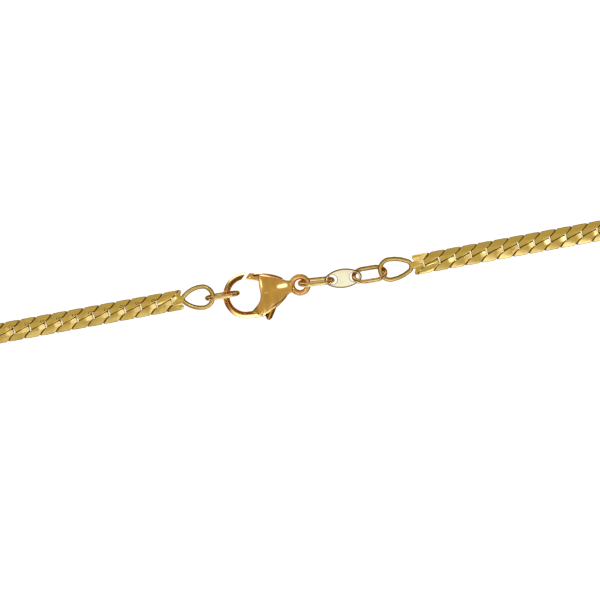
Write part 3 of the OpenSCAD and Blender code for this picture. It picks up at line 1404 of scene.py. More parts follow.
@dataclass
class ClaspBody:
    """Cast lobster clasp body: a domed heart, the hook and the eyelet, with a slot for the lever.

    Attributes:
        shift: Brings a place beside the clasp to the row frame.
        name: Name of the piece.
        node: The CAD node that it stands for.
        thick: Thickness of the thickest part.
        dome: Radius of the dome north of the ridge line.
        low_dome: Radius of the dome south of it.
        ridge_y: Where the ridge line between them lies.
        hook_centre: Middle of the hook's bend.
        hook_radius: Radius of the bend, at the middle of the band.
        hook_start: Direction of the hook's tip from that middle, in degrees.
        hook_sweep: Degrees that the hook bends through.
        hook_width: Width of the band.
        hook_thick: Height of the band.
        apex: How far outwards the band's highest line lies from its middle.
        eyelet_centre: Middle of the eyelet.
        eyelet_radius: Radius of the eyelet, at the middle of its wire.
        eyelet_wire: Diameter of its wire.
        pivot: Where the lever's pin is.
        pin_radius: Radius of the pin.
        pin_length: Its length.
        slot: Height of the lever's slot.
        margin: How steeply the margins fall beyond the ridge and the keel.
        lean: How steeply the heart falls on both sides of the ridge line.
        least: The least half thickness of the heart.
        heart_voxel: Fineness of the heart's mesh before the hook and the eyelet join it.
        heart_passes: How often that mesh is smoothed.
        voxel: Fineness of the whole body's mesh.
        passes: How often it is smoothed.
    """

    shift: Point
    name: str = "clasp_case"
    node: str = "clasp_body"
    thick: float = 2.8
    dome: float = 17.0
    low_dome: float = 15.0
    ridge_y: float = -0.7
    hook_centre: Point = (-7.78, -0.55)
    hook_radius: float = 2.75
    hook_start: float = 60.0
    hook_sweep: float = 250.0
    hook_width: float = 1.04
    hook_thick: float = 1.27
    apex: float = -0.05
    eyelet_centre: Point = (-0.1, -0.45)
    eyelet_radius: float = 1.13
    eyelet_wire: float = 0.8
    pivot: Point = (-3.3, -0.45)
    pin_radius: float = 0.35
    pin_length: float = 1.8
    slot: float = 1.2
    margin: float = 1.12
    lean: float = 0.07
    least: float = 0.2
    heart_voxel: float = 0.06
    heart_passes: int = 6
    voxel: float = 0.055
    passes: int = 10

    # Half the heart's thickness along it, before the dome is taken off.
    THICKNESS = (
        (-7.6, 0.5), (-6.7, 0.95), (-5.8, 1.36), (-5.0, 1.4), (-4.3, 1.37), (-3.9, 1.3),
        (-3.5, 1.195), (-3.1, 1.075), (-2.7, 0.945), (-2.3, 0.808), (-1.9, 0.665), (-1.5, 0.54),
        (-0.8, 0.45),
    )
    # The crisp lines along the heart's northern and southern edge, seen from above.
    RIDGE = ((-5.6, 1.8), (-5.14, 1.7), (-3.8, 1.29), (-2.91, 0.97), (-2.22, 0.57), (-1.9, 0.3))
    KEEL = (
        (-7.8, -3.25), (-6.88, -3.33), (-6.19, -3.42), (-5.69, -3.44), (-5.4, -3.39),
        (-5.1, -3.3), (-4.63, -3.1), (-4.24, -2.92), (-3.16, -2.42), (-2.3, -1.8), (-1.8, -1.35),
    )
    # Middle, width and steps of the block that gives the heart its domed faces.
    CUSHION_MIDDLE = (-4.4, -0.8)
    CUSHION_SIZE = 8.0
    CUSHION_STEPS = 72
    # How round the brow north of the ridge line is, the least share of the thickness that the
    # bevels leave, and how pointed the hook's section is outside and inside.
    BROW = 0.05
    LEAST_LEFT = 0.3
    HOOK_POWERS = (2.0, 1.6)
    # Shares from 0 to 1 by place along the heart: of the rounder brow, of the two leans beside
    # the ridge line, and of the bevels beyond the ridge and the keel.
    BROW_SHARE = ((-4.2, 0.0), (-3.4, 1.0))
    NORTH_SHARE = ((-6.4, 0.0), (-5.9, 1.0), (-4.2, 1.0), (-3.4, 0.0))
    SOUTH_SHARE = ((-6.4, 0.0), (-5.9, 1.0), (-2.5, 1.0), (-2.0, 0.0))
    RIDGE_SHARE = ((-5.75, 0.0), (-5.5, 1.0), (-2.5, 1.0), (-2.0, 0.0))
    KEEL_SHARE = ((-6.2, 0.0), (-5.7, 1.0), (-2.5, 1.0), (-2.0, 0.0))
    # Size of the hook's section by degrees from its tip.
    HOOK_TAPER = ((0, 0.94), (20, 0.92), (110, 0.9), (250, 1.0))
    # The hook's end that is drawn out along the keel: from which direction in degrees, over how
    # many, how far, how wide, how much narrower and thicker at its end, and over which height the
    # thickening fades at mid-height.
    KEEL_FROM = 270.0
    KEEL_TURN = 40.0
    KEEL_RUN = 2.55
    KEEL_WIDTH = 0.57
    KEEL_TAPER = 0.2
    KEEL_SWELL = 0.28
    KEEL_SOFT = 0.05
    # The painted dark reflection inside the hook's tip: by distance from the hook's middle and by
    # direction.
    TIP_BY_RADIUS = ((2.5, 0.0), (2.62, 1.0), (2.86, 1.0), (2.98, 0.0))
    TIP_BY_ANGLE = ((55, 0.0), (62, 1.0), (135, 1.0), (165, 0.0))
    # The painted dark line along the keel, a painted reflection: how far inside the keel it lies, by
    # place along it, and how dark it is by distance from its middle and by place.
    LINE_INSET = ((-5.0, 0.22), (-3.4, 0.17), (-2.4, 0.1))
    LINE_BY_DISTANCE = ((-0.15, 0.0), (-0.07, 1.0), (0.07, 1.0), (0.17, 0.0))
    LINE_BY_PLACE = ((-5.0, 0.0), (-4.2, 1.0), (-2.3, 1.0), (-1.9, 0.0))

    def outline(self) -> list[Point]:
        """Outline of the heart, without the hook and the eyelet.

        Returns:
            Its corners.
        """
        return joined(
            bezier((-5.45, 1.9), (-5.75, 1.2), (-5.75, 0.4), (-5.72, -0.6), 8),
            bezier((-5.72, -0.6), (-5.78, -1.75), (-6.4, -2.17), (-7.4, -2.92), 8),
            bezier((-7.1, -3.25), (-6.6, -3.5), (-6.2, -3.72), (-5.8, -3.82), 5),
            bezier((-5.65, -3.83), (-5.2, -3.68), (-4.3, -3.2), (-3.46, -2.74), 8),
            [(-2.46, -2.03)],
            bezier((-2.46, -2.0), (-2.1, -1.62), (-1.9, -1.3), (-1.2, -1.25), 6),
            bezier((-1.2, 0.4), (-1.7, 0.42), (-2.1, 0.45), (-2.3, 0.85), 4),
            bezier((-2.4, 1.0), (-3.1, 1.5), (-4.1, 1.9), (-5.1, 2.08), 8),
        )

    def half_thickness(self, x: float, y: float) -> float:
        """Half the heart's thickness under its shallow dome.

        Args:
            x: A place along the heart.
            y: The same place across it.

        Returns:
            Half the thickness there.
        """
        at = min(max(x, self.THICKNESS[0][0]), self.THICKNESS[-1][0])
        half = float(np.mean(height_at(self.THICKNESS, at + np.linspace(-0.5, 0.5, 7))))
        aside = abs(y - self.ridge_y)
        if y <= self.ridge_y:
            return max(self.least, half - aside ** 2 / (2 * self.low_dome))
        rounder = self.BROW * min(aside, 1.0) ** 2 + 2 * self.BROW * max(0.0, aside - 1.0)
        brow = rounder * float(height_at(self.BROW_SHARE, x))
        return max(self.least, half - aside ** 2 / (2 * self.dome) - brow)

    def creased(self, place: Vector) -> Vector:
        """Lowers the margins beyond the ridge and beyond the keel to crisp bevels.

        Args:
            place: A place on the clasp.

        Returns:
            Where it goes.
        """
        share = self.NORTH_SHARE if place.y > self.ridge_y else self.SOUTH_SHARE
        drop = self.lean * abs(place.y - self.ridge_y) * float(height_at(share, place.x))
        bevels = ((self.RIDGE, self.RIDGE_SHARE, 1), (self.KEEL, self.KEEL_SHARE, -1))
        for line, share, sign in bevels:
            beyond = max(0.0, sign * (place.y - float(height_at(line, place.x))))
            drop += self.margin * float(height_at(share, place.x)) * beyond
        if drop == 0.0:
            return place
        middle = self.thick / 2
        left = max(self.LEAST_LEFT, 1 - drop / self.half_thickness(place.x, place.y))
        return Vector((place.x, place.y, middle + left * (place.z - middle)))

    def straightened(self, place: Vector) -> Vector:
        """Draws the end of the hook out along the keel, growing thicker into the heart.

        Args:
            place: A place on the hook.

        Returns:
            Where it goes.
        """
        x, y = place.x - self.hook_centre[0], place.y - self.hook_centre[1]
        angle = math.degrees(math.atan2(y, x)) % 360
        if angle < self.KEEL_FROM:
            return place
        share = (angle - self.KEEL_FROM) / self.KEEL_TURN
        at = self.hook_centre[0] + self.KEEL_RUN * share
        edge = float(height_at(self.KEEL, at))
        outer = self.KEEL_WIDTH - self.KEEL_TAPER * share
        out = min(math.hypot(x, y) - self.hook_radius - self.apex, outer)
        rise = place.z - self.thick / 2
        lift = math.copysign(self.KEEL_SWELL * share * min(1.0, abs(rise) / self.KEEL_SOFT), rise)
        return Vector((at, edge - out, place.z + lift))

    def domed(self, place: Vector) -> Vector:
        """Brings a place on a block about the origin to the heart's upper or lower face.

        Args:
            place: A place on the block's lower face, at z = 0, or on its upper one, at z = 1.

        Returns:
            Where it goes.
        """
        x, y = place.x + self.CUSHION_MIDDLE[0], place.y + self.CUSHION_MIDDLE[1]
        side = 1 if place.z > 0.5 else -1
        return Vector((x, y, self.thick / 2 + side * self.half_thickness(x, y)))

    def cushion(self) -> bpy.types.Object:
        """A block whose upper and lower faces are the heart's domed faces.

        Returns:
            The block.
        """
        Bench.clear()
        steps, size = self.CUSHION_STEPS, self.CUSHION_SIZE
        bpy.ops.mesh.primitive_grid_add(x_subdivisions=steps, y_subdivisions=steps, size=size)
        piece = Bench.named("cushion")
        bpy.ops.object.mode_set(mode="EDIT")
        bpy.ops.mesh.select_all(action="SELECT")
        bpy.ops.mesh.extrude_region_move(TRANSFORM_OT_translate={"value": (0, 0, 1)})
        bpy.ops.object.mode_set(mode="OBJECT")
        Bench.shape(piece, self.domed)
        Bench.weld(piece)
        return piece

    def banded(self, place: Vector) -> Vector:
        """Shapes a round section of the hook to the section of its band.

        Args:
            place: A place on a circle of radius 1.

        Returns:
            Where it goes, beside the middle of the hook's bend.
        """
        outside, inside = self.HOOK_POWERS
        outer = place.x > 0
        power = outside if outer else inside
        reach = self.hook_width / 2 - self.apex if outer else self.hook_width / 2 + self.apex
        across = math.copysign(abs(place.x) ** power * reach, place.x)
        height = math.copysign(abs(place.z) ** power * self.hook_thick / 2, place.z)
        return Vector((self.hook_radius + self.apex + across, place.y, height))

    def tapered(self, place: Vector) -> Vector:
        """Thins the bent hook towards its tip.

        Args:
            place: A place on the hook, about the middle of its bend.

        Returns:
            Where it goes.
        """
        radius = math.hypot(place.x, place.y)
        angle = math.degrees(math.atan2(place.y, place.x)) % 360
        width = float(height_at(self.HOOK_TAPER, angle))
        new = self.hook_radius + (radius - self.hook_radius) * width
        return Vector((place.x * new / radius, place.y * new / radius, place.z * width ** 0.5))

    def hook(self) -> bpy.types.Object:
        """The hook, bent from a rounded bar and thinned towards its tip.

        Returns:
            The hook.
        """
        Bench.clear()
        bpy.ops.mesh.primitive_circle_add(vertices=24, radius=1.0, rotation=(math.pi / 2, 0, 0))
        piece = Bench.named("hook")
        bpy.ops.object.transform_apply(location=True, rotation=True, scale=True)
        Bench.shape(piece, self.banded)
        Bench.take(piece)
        bpy.ops.object.mode_set(mode="EDIT")
        bpy.ops.mesh.select_all(action="SELECT")
        bpy.ops.mesh.edge_face_add()
        bpy.ops.mesh.spin(
            steps=50, angle=-math.radians(self.hook_sweep), center=(0, 0, 0), axis=(0, 0, 1)
        )
        bpy.ops.object.mode_set(mode="OBJECT")
        Bench.shape(piece, self.tapered)
        Bench.weld(piece)
        Bench.place(
            piece,
            Matrix.Rotation(math.radians(self.hook_start), 4, "Z"),
            Matrix.Translation((*self.hook_centre, self.thick / 2)),
        )
        Bench.shape(piece, self.straightened)
        return piece

    def eyelet(self) -> bpy.types.Object:
        """The eyelet at the narrow end.

        Returns:
            The eyelet.
        """
        Bench.clear()
        bpy.ops.mesh.primitive_torus_add(
            major_radius=self.eyelet_radius,
            minor_radius=self.eyelet_wire / 2,
            major_segments=48,
            minor_segments=20,
            location=(*self.eyelet_centre, self.thick / 2),
        )
        piece = Bench.named("eyelet")
        bpy.ops.object.transform_apply(location=True, rotation=True, scale=True)
        return piece

    def cutters(self) -> list[bpy.types.Object]:
        """What is taken away: the lever's slot and the end of the hook.

        Returns:
            The two blocks that cut them.
        """
        middle, half = self.thick / 2, self.slot / 2
        slot = [
            (-6.4, 2.8), (-4.95, 2.8), (-4.95, 1.62), (-2.35, 0.5), (-2.35, -2.8),
            (-5.1, -4.2), (-5.66, -4.2), (-5.66, -3.3), (-5.82, -2.7), (-6.5, -2.1),
        ]
        tip = [(-6.5, 3.2), (-8.8, 0.97), (-6.7, 0.05), (-5.6, 1.12)]
        return [
            Bench.plate("slot", slot, middle - half, middle + half),
            Bench.plate("tip", tip, middle - half, middle + half),
        ]

    def painted_dark_lines(self, piece: bpy.types.Object) -> np.ndarray:
        """Painted dark reflections: a dark line inside the hook's tip and one along the keel.

        Args:
            piece: The clasp body about the origin.

        Returns:
            1 where the painted line is darkest, 0 where there is none.
        """
        spots = Bench.faces(piece, "center")
        x, y = spots[:, 0] - self.hook_centre[0], spots[:, 1] - self.hook_centre[1]
        tip = height_at(self.TIP_BY_RADIUS, np.hypot(x, y))
        tip *= height_at(self.TIP_BY_ANGLE, np.degrees(np.arctan2(y, x)) % 360)
        along = spots[:, 0]
        inward = spots[:, 1] - height_at(self.KEEL, along) - height_at(self.LINE_INSET, along)
        keel = height_at(self.LINE_BY_DISTANCE, inward)
        keel *= height_at(self.LINE_BY_PLACE, along)
        return tip + keel

    def build(self) -> bpy.types.Object:
        """Models the clasp body.

        Returns:
            The clasp body in millimetres.
        """
        piece = Bench.plate(self.name, self.outline(), 0.0, self.thick)
        Bench.combine(piece, self.cushion(), "INTERSECT")
        Bench.modify(piece, "REMESH", mode="VOXEL", voxel_size=self.heart_voxel)
        Bench.modify(piece, "SMOOTH", factor=0.5, iterations=self.heart_passes)
        piece = Bench.join([piece, self.hook(), self.eyelet()])
        Bench.modify(piece, "REMESH", mode="VOXEL", voxel_size=self.voxel, use_smooth_shade=True)
        Bench.modify(piece, "SMOOTH", factor=0.5, iterations=self.passes)
        Bench.shape(piece, self.creased)
        for cutter in self.cutters():
            Bench.combine(piece, cutter, "DIFFERENCE")
        middle = (*self.pivot, self.thick / 2)
        pin = Bench.rod("pin", self.pin_radius, self.pin_length, middle, sides=24)
        Bench.combine(piece, pin, "UNION")
        Bench.smooth(piece, angle=50)
        # Painted dark reflection lines inside the hook's tip and along the keel.
        write_painted_shade(piece, self.painted_dark_lines(piece))
        Bench.place(piece, Matrix.Translation((*self.shift, 0)))
        piece.name = self.name
        return piece


@dataclass
class ClaspLever:
    """Sprung lever: the gate that closes the hook and the thumb tab, about one pin.

    Attributes:
        shift: Brings a place beside the clasp to the row frame.
        name: Name of the piece.
        node: The CAD node that it stands for.
        middle: Height of its middle.
        thick: Its thickness.
        pivot: Where it turns about the pin.
        boss: Radius of the metal round the pin.
        hole: Diameter of the pin's hole.
        rim: Width of its rounded edges.
        gate_fold: y of the line that the gate's top falls away from.
        gate_turn: x where the fall turns gentler, towards the tip.
        gate_falls: How steeply it falls: over the gate, at the tip and on the near side.
        tab_across: Direction across the tab's fold.
        tab_on_fold: A place on that fold.
        tab_flat: Half the width of the flat strip along the fold.
        tab_fall: How steeply the tab falls on both sides of it.
    """

    shift: Point
    name: str = "clasp_gate"
    node: str = "clasp_lever"
    middle: float = 1.4
    thick: float = 1.0
    pivot: Point = (-3.3, -0.45)
    boss: float = 0.75
    hole: float = 0.8
    rim: float = 0.07
    gate_fold: float = 1.78
    gate_turn: Pair = (-6.3, -6.1)
    gate_falls: Triple = (0.85, 0.3, 0.2)
    tab_across: Triple = (0.86, -0.5, 0.0)
    tab_on_fold: Triple = (-4.62, -3.2, 0.0)
    tab_flat: float = 0.1
    tab_fall: float = 0.75

    GATE = (
        (-6.72, 2.45), (-7.34, 1.86), (-7.3, 1.62), (-5.75, 1.15),
        (-3.6, -1.0), (-2.85, 0.05), (-5.05, 1.42), (-5.12, 2.05),
    )
    TAB = (
        (-4.0, -0.6), (-5.2, -3.0), (-5.65, -3.75), (-5.5, -4.35), (-5.2, -4.55),
        (-4.75, -4.3), (-4.0, -3.15), (-3.2, -1.7), (-2.7, -0.8),
    )

    def gate(self) -> bpy.types.Object:
        """The gate, its top folded along a line.

        Returns:
            The gate.
        """
        half = self.thick / 2
        piece = Bench.plate(self.name, self.GATE, self.middle - half, self.middle + half)
        Bench.fold(piece, ACROSS, (self.gate_fold,))
        Bench.fold(piece, ALONG, self.gate_turn)
        over, tip, near = self.gate_falls

        def gabled(place: Vector) -> Vector:
            """Lowers the top on both sides of the fold."""
            if place.z > self.middle:
                steep = over if place.x > sum(self.gate_turn) / 2 else tip
                place.z -= steep * max(0.0, place.y - self.gate_fold)
                place.z -= near * max(0.0, min(self.gate_fold - place.y, 1.0))
            return place

        Bench.shape(piece, gabled)
        return piece

    def tab(self) -> bpy.types.Object:
        """The thumb tab, its top folded along its length.

        Returns:
            The tab.
        """
        half = self.thick / 2
        piece = Bench.plate("thumb", self.TAB, self.middle - half, self.middle + half)
        axis = Vector(self.tab_across).normalized()
        fold = axis.dot(Vector(self.tab_on_fold))
        Bench.fold(piece, axis, (fold - self.tab_flat, fold + self.tab_flat))

        def keeled(place: Vector) -> Vector:
            """Lowers the top on both sides of the flat strip."""
            if place.z > self.middle:
                place.z -= self.tab_fall * max(0.0, abs(axis.dot(place) - fold) - self.tab_flat)
            return place

        Bench.shape(piece, keeled)
        return piece

    def build(self) -> bpy.types.Object:
        """Models the lever.

        Returns:
            The lever in millimetres.
        """
        piece = self.gate()
        Bench.combine(piece, self.tab(), "UNION")
        middle = (*self.pivot, self.middle)
        boss = Bench.rod("boss", self.boss, self.thick, middle, sides=32)
        Bench.combine(piece, boss, "UNION")
        bore = Bench.rod("bore", self.hole / 2, 2 * self.thick, middle, sides=32)
        Bench.combine(piece, bore, "DIFFERENCE")
        Bench.round_edges(piece, self.rim, steps=2)
        Bench.smooth(piece, angle=25)
        Bench.place(piece, Matrix.Translation((*self.shift, 0)))
        return piece


@dataclass(frozen=True)
class SoftBox:
    """A patch of brightness in the light tent.

    Attributes:
        azimuth: Direction it lies in, anticlockwise from +X, in degrees.
        elevation: Height above the table, in degrees.
        size: Half its angular size, in degrees.
        edge: Width of its soft edge, in degrees.
        strength: Brightness that it adds.
    """

    azimuth: float
    elevation: float
    size: float
    edge: float
    strength: float


@dataclass
class Studio:
    """White table, light tent and the camera straight above the clasp.

    Attributes:
        roll: Degrees that the camera is turned.
        view_width: Width of the view on the table, in millimetres.
        lens: The camera's lens.
        sensor: Its sensor's width.
        aim: Middle of the view, in millimetres.
        table: Width of the table, in metres.
        table_drop: How far below the necklace it lies, in millimetres.
        bounce: Brightness of the table in reflections.
        bounce_shares: Shares of it away from the clasp and beside it; the larger share beside it is a
            painted pool of light.
        run_y: y of the chain's straight stretches.
        run_fade: How far from them the painted shadow on the table, as the metal mirrors it, gives
            way to its bright part, from and to.
        clasp_x: x of the clasp's middle.
        clasp_fade: How far from it the painted pool of light ends, from and to.
        strip_fade: How far from a strip's middle its painted bounce light ends, from and to.
        strip_start: How far from the middle a strip begins, from and to.
        strip_end: The same for its end.
    """

    roll: float = -10.5
    view_width: float = 84.0
    lens: float = 150.0
    sensor: float = 36.0
    aim: Point = (-0.521, 51.755)
    table: float = 12.0
    table_drop: float = 0.03
    bounce: float = 2.0
    bounce_shares: Pair = (0.85, 1.5)
    run_y: float = 54.0
    run_fade: Pair = (7.0, 10.5)
    clasp_x: float = -6.0
    clasp_fade: Pair = (7.0, 12.0)
    strip_fade: Pair = (0.4, 0.5)
    strip_start: Pair = (16.0, 17.0)
    strip_end: Pair = (43.0, 44.0)

    # Colours of the tent's wall, high and low, of the painted shadow on the table under the necklace
    # and of the table around it as the metal mirrors them, and of the soft boxes.
    WALL = (1.0, 0.92, 0.6)
    LOW_WALL = (1.0, 0.66, 0.25)
    TABLE_SHADOW = (0.26, 0.13, 0.04)
    SHEET = (1.0, 1.12, 1.6)
    LAMP = (1.0, 1.15, 1.9)
    # The tent's wall by height, 0 at the table and 1 overhead: where it brightens, how bright it
    # is there, and where its colour changes, each from and to. Then its clouds.
    WALL_RISE = (0.38, 0.76)
    WALL_LIGHT = (0.1, 0.52)
    WALL_PAINT = (0.3, 0.6)
    CLOUD_SIZE = 350.0
    CLOUD_SHARE = 0.7
    CLOUD_BASE = 0.65
    # The table as the camera sees it: two greys and the size of their patches, its glow, and the
    # glow's colours, white and the cream of the painted bounce light in the strips under the chain.
    CLOTH = ((0.22, 0.22, 0.22), (0.24, 0.24, 0.24))
    CLOTH_PATCH = 40.0
    CLOTH_GLOW = 1.05
    GLOW = (1.0, 1.0, 1.0)
    PAINTED_BOUNCE_GLOW = (0.95, 0.85, 0.62)
    # y of each strip of painted bounce light under a straight stretch, and its side.
    PAINTED_BOUNCE_STRIPS = ((53.65, 1), (54.83, -1))
    # Azimuth, elevation, size, edge and strength of the soft boxes.
    BOXES = (
        SoftBox(0, 90, 3.4, 2.6, 0.55),
        SoftBox(150, 63, 5, 4, 0.68),
        SoftBox(122, 69, 2, 2.5, 2.6),
        SoftBox(15, 52, 1.5, 3.5, 2.8),
        SoftBox(-72, 50, 12, 6, 1.05),
        SoftBox(-114, 47, 10, 6, 0.85),
        SoftBox(88, 34, 8, 5, 0.35),
        SoftBox(145, 43, 6, 5, 1.2),
        SoftBox(-35, 43, 6, 5, 0.9),
    )

    @staticmethod
    def within(distance: Signal, limits: Pair) -> Signal:
        """A step from 1 to 0 as a distance goes from the first limit in millimetres to the second."""
        return distance.ramp(limits[0] * MM, limits[1] * MM, 1, 0)

    def floor(self) -> None:
        """A pale table top, wide enough for low views."""
        Bench.clear()
        bpy.ops.mesh.primitive_plane_add(size=self.table, location=(0, 0, -self.table_drop * MM))
        table = Bench.named("table_top")
        material = bpy.data.materials.new("table_white")
        material.use_nodes = True
        dye = Dye(material.node_tree)
        place = dye.node("ShaderNodeTexCoord", {}, {}, "Object")
        mottle = dye.noise(place, self.CLOTH_PATCH, detail=2.0)
        along = dye.node("ShaderNodeSeparateXYZ", {}, {"Vector": place}, "X")
        up = dye.node("ShaderNodeSeparateXYZ", {}, {"Vector": place}, "Y")
        glow = None
        # Strips of painted bounce light, cream, on the table under the chain's straight stretches,
        # seen through its slits.
        for line, side in self.PAINTED_BOUNCE_STRIPS:
            near = self.within((up - line * MM).size(), self.strip_fade)
            far = along * side
            begun = far.ramp(self.strip_start[0] * MM, self.strip_start[1] * MM)
            strip = near * begun * self.within(far, self.strip_end)
            glow = strip if glow is None else glow + strip
        values = {
            "Base Color": dye.blend(mottle, *self.CLOTH),
            "Roughness": 0.8,
            "Specular IOR Level": 0.0,
            "Emission Color": dye.blend(glow, self.GLOW, self.PAINTED_BOUNCE_GLOW),
            "Emission Strength": self.CLOTH_GLOW,
        }
        cloth = dye.node("ShaderNodeBsdfPrincipled", {}, values)
        # In reflections the table carries a painted shadow, dark brown, along the chain's straight
        # stretches under the clasp.
        away = (up - self.run_y * MM).size().ramp(*(limit * MM for limit in self.run_fade))
        # Beside the clasp the table, as the metal mirrors it, is brighter: a painted pool of light.
        beside = (along - self.clasp_x * MM).size().ramp(*(limit * MM for limit in self.clasp_fade))
        far, near = (
            [share * self.bounce * value for value in self.SHEET] for share in self.bounce_shares
        )
        lit = dye.blend(beside, near, far)
        values = {"Color": dye.blend(away, self.TABLE_SHADOW, lit), "Strength": 1.0}
        dim = dye.node("ShaderNodeEmission", {}, values)
        seen = dye.node("ShaderNodeLightPath", {}, {}, "Is Camera Ray")
        surface = dye.node("ShaderNodeMixShader", {}, {0: seen, 1: dim, 2: cloth})
        dye.node("ShaderNodeOutputMaterial", {}, {"Surface": surface})
        table.data.materials.append(material)

    def tent(self) -> None:
        """The light tent: dim above and at the table's edge, bright patches between."""
        world = bpy.data.worlds.new("tent")
        bpy.context.scene.world = world
        world.use_nodes = True
        dye = Dye(world.node_tree)
        ray = dye.node("ShaderNodeTexCoord", {}, {}, "Generated")
        height = dye.node("ShaderNodeSeparateXYZ", {}, {"Vector": ray}, "Z")
        clouds = dye.noise(ray, self.CLOUD_SIZE, detail=1.0) * self.CLOUD_SHARE + self.CLOUD_BASE
        wall = height.ramp(*self.WALL_RISE, *self.WALL_LIGHT) * clouds
        paint = dye.blend(height.ramp(*self.WALL_PAINT), self.LOW_WALL, self.WALL)
        light = None
        for box in self.BOXES:
            azimuth, elevation = math.radians(box.azimuth), math.radians(box.elevation)
            towards = (
                math.cos(elevation) * math.cos(azimuth),
                math.cos(elevation) * math.sin(azimuth),
                math.sin(elevation),
            )
            near = dye.node(
                "ShaderNodeVectorMath", {"operation": "DOT_PRODUCT"}, {0: ray, 1: towards}, "Value"
            )
            outer = math.cos(math.radians(box.size + box.edge))
            inner = math.cos(math.radians(box.size))
            glow = near.ramp(outer, inner, 0.0, box.strength)
            light = glow if light is None else light + glow
        seen = dye.node("ShaderNodeLightPath", {}, {}, "Is Camera Ray")
        shades = []
        for colour, strength in ((paint, wall), ((*self.LAMP, 1), light)):
            values = {"Color": colour, "Strength": strength}
            shades.append(dye.node("ShaderNodeBackground", {}, values))
        lit = dye.node("ShaderNodeAddShader", {}, {0: shades[0], 1: shades[1]})
        white = dye.node("ShaderNodeBackground", {}, {"Color": (1, 1, 1, 1), "Strength": 1.0})
        surface = dye.node("ShaderNodeMixShader", {}, {0: seen, 1: lit, 2: white})
        dye.node("ShaderNodeOutputWorld", {}, {"Surface": surface})

    def camera(self) -> None:
        """The camera, looking straight down and turned as in the photograph."""
        lens = bpy.data.cameras.new("top_view")
        lens.lens, lens.sensor_width = self.lens, self.sensor
        lens.clip_start, lens.clip_end = 0.01, 20.0
        eye = bpy.data.objects.new("top_view", lens)
        bpy.context.scene.collection.objects.link(eye)
        distance = self.view_width * MM * self.lens / self.sensor
        eye.location = (self.aim[0] * MM, self.aim[1] * MM, distance)
        eye.rotation_euler = (0, 0, math.radians(self.roll))
        bpy.context.scene.camera = eye

    def build(self) -> None:
        """Sets up the table, the light and the camera."""
        self.floor()
        self.tent()
        self.camera()
        bpy.context.scene.view_settings.view_transform = "Standard"
        bpy.context.scene.view_settings.look = "None"


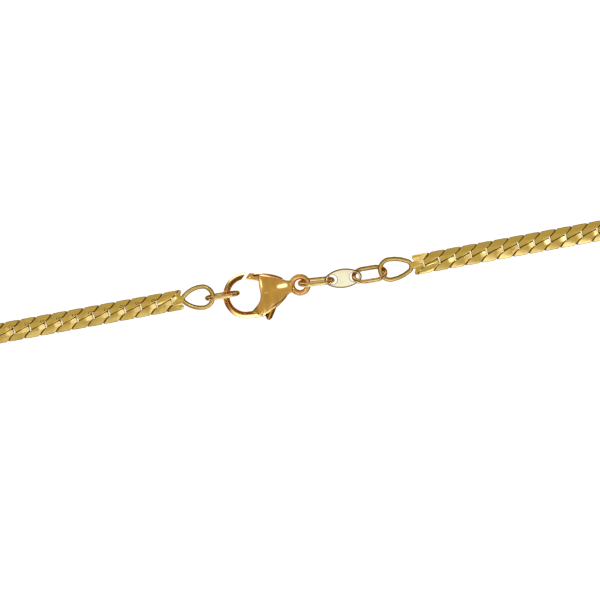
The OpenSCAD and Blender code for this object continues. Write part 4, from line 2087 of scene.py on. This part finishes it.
class Necklace:
    """The whole necklace and its places in the row frame."""

    # How far out the right straight stretch ends, and the number of links on each side.
    STRAIGHT_RIGHT = 45.0
    LINKS = 92
    # Middles of the two end links, before the shift, and half the width of the solids' hook.
    RIGHT_START = (17.42, -0.65)
    LEFT_START = (-18.05, 0.53)
    HOOK_HALF = 0.45

    def __init__(self) -> None:
        """Works out the loop and the shift to the row frame."""
        self.finishes = Finishes()
        self.link = CurbLink()
        low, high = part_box("chain_right")
        self.straight, self.corner, self.shift = self.loop()
        LOG.info("chain box %s %s, shift %s", low, high, self.shift)

    def loop(self) -> tuple[tuple[float, float], tuple[float, float], Point]:
        """Sizes of the loop, from the number of links on each side.

        Returns:
            Straight runs (right, left), corner radii (right, left) and the shift that brings
            the middle of the loop to the origin.
        """
        turn = math.radians(CORNER_TURN)
        run_share = 1 + (math.pi - turn) / math.sin(turn)
        drop_share = (1 + math.cos(turn)) / math.sin(turn)
        length = (self.LINKS + 0.5) * self.link.pitch
        right_x, right_y = self.RIGHT_START
        left_x, left_y = self.LEFT_START
        corner_right = (length + right_x - run_share * self.STRAIGHT_RIGHT) / math.pi
        drop_right = 2 * corner_right + drop_share * self.STRAIGHT_RIGHT
        drop_left = drop_right + left_y - right_y
        straight_left = (length - left_x - math.pi / 2 * drop_left) / (
            run_share - math.pi / 2 * drop_share
        )
        corner_left = (drop_left - drop_share * straight_left) / 2
        half = self.link.width / 2
        right = self.STRAIGHT_RIGHT + corner_right + half
        left = -(straight_left + corner_left + half)
        bottom = right_y - drop_right - half
        top = ClaspBody.hook_centre[1] + ClaspBody.hook_radius + self.HOOK_HALF
        shift = (-(right + left) / 2, -(top + bottom) / 2)
        return (self.STRAIGHT_RIGHT, straight_left), (corner_right, corner_left), shift

    def finish(self, piece: bpy.types.Object, node: str, slot: Slot, body: str) -> None:
        """Brings a piece to metres, dresses it and lets it stand for its CAD node.

        Args:
            piece: The finished piece, in millimetres.
            node: The CAD node that it stands for.
            slot: Its material slot.
            body: The body that it rides on.
        """
        Bench.settle(piece)
        self.finishes.dress(piece, slot)
        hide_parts(node)
        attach(piece, body)
        count = sum(len(face.vertices) - 2 for face in piece.data.polygons)
        LOG.info("%s stands for %s, %d triangles", piece.name, node, count)

    def chains(self) -> None:
        """Both sides of the chain, copied from one link."""
        sides = (
            ChainSide(
                name="curb_chain_right",
                node="chain_right",
                turn=Turn.RIGHT,
                links=self.LINKS,
                start=self.RIGHT_START,
                straight=self.straight[0],
                corner=self.corner[0],
                shift=self.shift,
                seed=5,
            ),
            ChainSide(
                name="curb_chain_left",
                node="chain_left",
                turn=Turn.LEFT,
                links=self.LINKS,
                start=self.LEFT_START,
                straight=self.straight[1],
                corner=self.corner[1],
                shift=self.shift,
                seed=8,
            ),
        )
        links = (CurbLink(gap_lean=0.035), CurbLink(gap_lean=0.09, seam=0.055, bead=True))
        for side, sizes in zip(sides, links):
            link = sizes.build()
            LOG.info("a link of %s has %d faces", side.name, len(link.data.polygons))
            piece = side.build(link, sizes.pitch, sizes.thick)
            bpy.data.objects.remove(link, do_unlink=True)
            Bench.smooth(piece, angle=12)
            self.finish(piece, side.node, Slot.CHAIN, NECKLACE_BODY)

    def ends(self) -> None:
        """The two end links with their rings."""
        pieces = (
            EndPiece(
                name="chain_end_left",
                node="end_ring_left",
                turn=Turn.LEFT,
                start=self.LEFT_START,
                shift=self.shift,
                nose=1.6,
                length=4.3,
                wide=1.48,
                narrow=0.5,
                aside=-4.0,
            ),
            EndPiece(
                name="chain_end_right",
                node="end_ring_right",
                turn=Turn.RIGHT,
                start=self.RIGHT_START,
                shift=self.shift,
                nose=1.85,
                length=4.5,
                wide=1.43,
                narrow=0.8,
                aside=0.0,
                level_cap=True,
            ),
        )
        for end in pieces:
            piece = end.build(self.link)
            Bench.smooth(piece, angle=25)
            self.finish(piece, end.node, Slot.CHAIN, NECKLACE_BODY)

    def at(self, u: float, v: float) -> Point:
        """A place along the clasp stretch, in the row frame."""
        return (u + self.shift[0], v + self.shift[1])

    def rings(self) -> None:
        """The jump ring, the two oval links and the tag."""
        rings = (
            OvalRing(
                name="jump_ring_wire",
                node="jump_ring",
                centre=self.at(-11.0, 0.03),
                length=4.9,
                tilt=83.0,
                heading=-1.0,
                bow=0.1,
            ),
            OvalRing(
                name="oval_link_left",
                node="oval_link_near",
                centre=self.at(2.2, -0.45),
                length=5.15,
                tilt=77.0,
                heading=-4.5,
                bow=0.1,
            ),
            OvalRing(
                name="oval_link_right",
                node="oval_link_far",
                centre=self.at(9.7, -0.8),
                length=5.05,
                tilt=52.0,
                heading=-1.5,
                bow=0.14,
            ),
        )
        for ring in rings:
            piece = ring.build()
            Bench.smooth(piece, angle=60)
            self.finish(piece, ring.node, Slot.RING, NECKLACE_BODY)
        tag = OvalTag(centre=self.at(6.0, -0.66))
        self.finish(tag.build(), tag.node, Slot.TAG, NECKLACE_BODY)

    def clasp(self) -> None:
        """The clasp's body and its lever."""
        body = ClaspBody(self.shift)
        self.finish(body.build(), body.node, Slot.CLASP, NECKLACE_BODY)
        lever = ClaspLever(self.shift)
        self.finish(lever.build(), lever.node, Slot.CLASP, LEVER_BODY)

    def build(self) -> None:
        """Builds and dresses every piece."""
        self.chains()
        self.ends()
        self.rings()
        self.clasp()


def main() -> None:
    """Builds the studio and the necklace."""
    logging.basicConfig(level=logging.INFO, format="%(name)s: %(message)s")
    Studio().build()
    Necklace().build()
    Bench.clear()


if __name__ == "__main__":
    main()
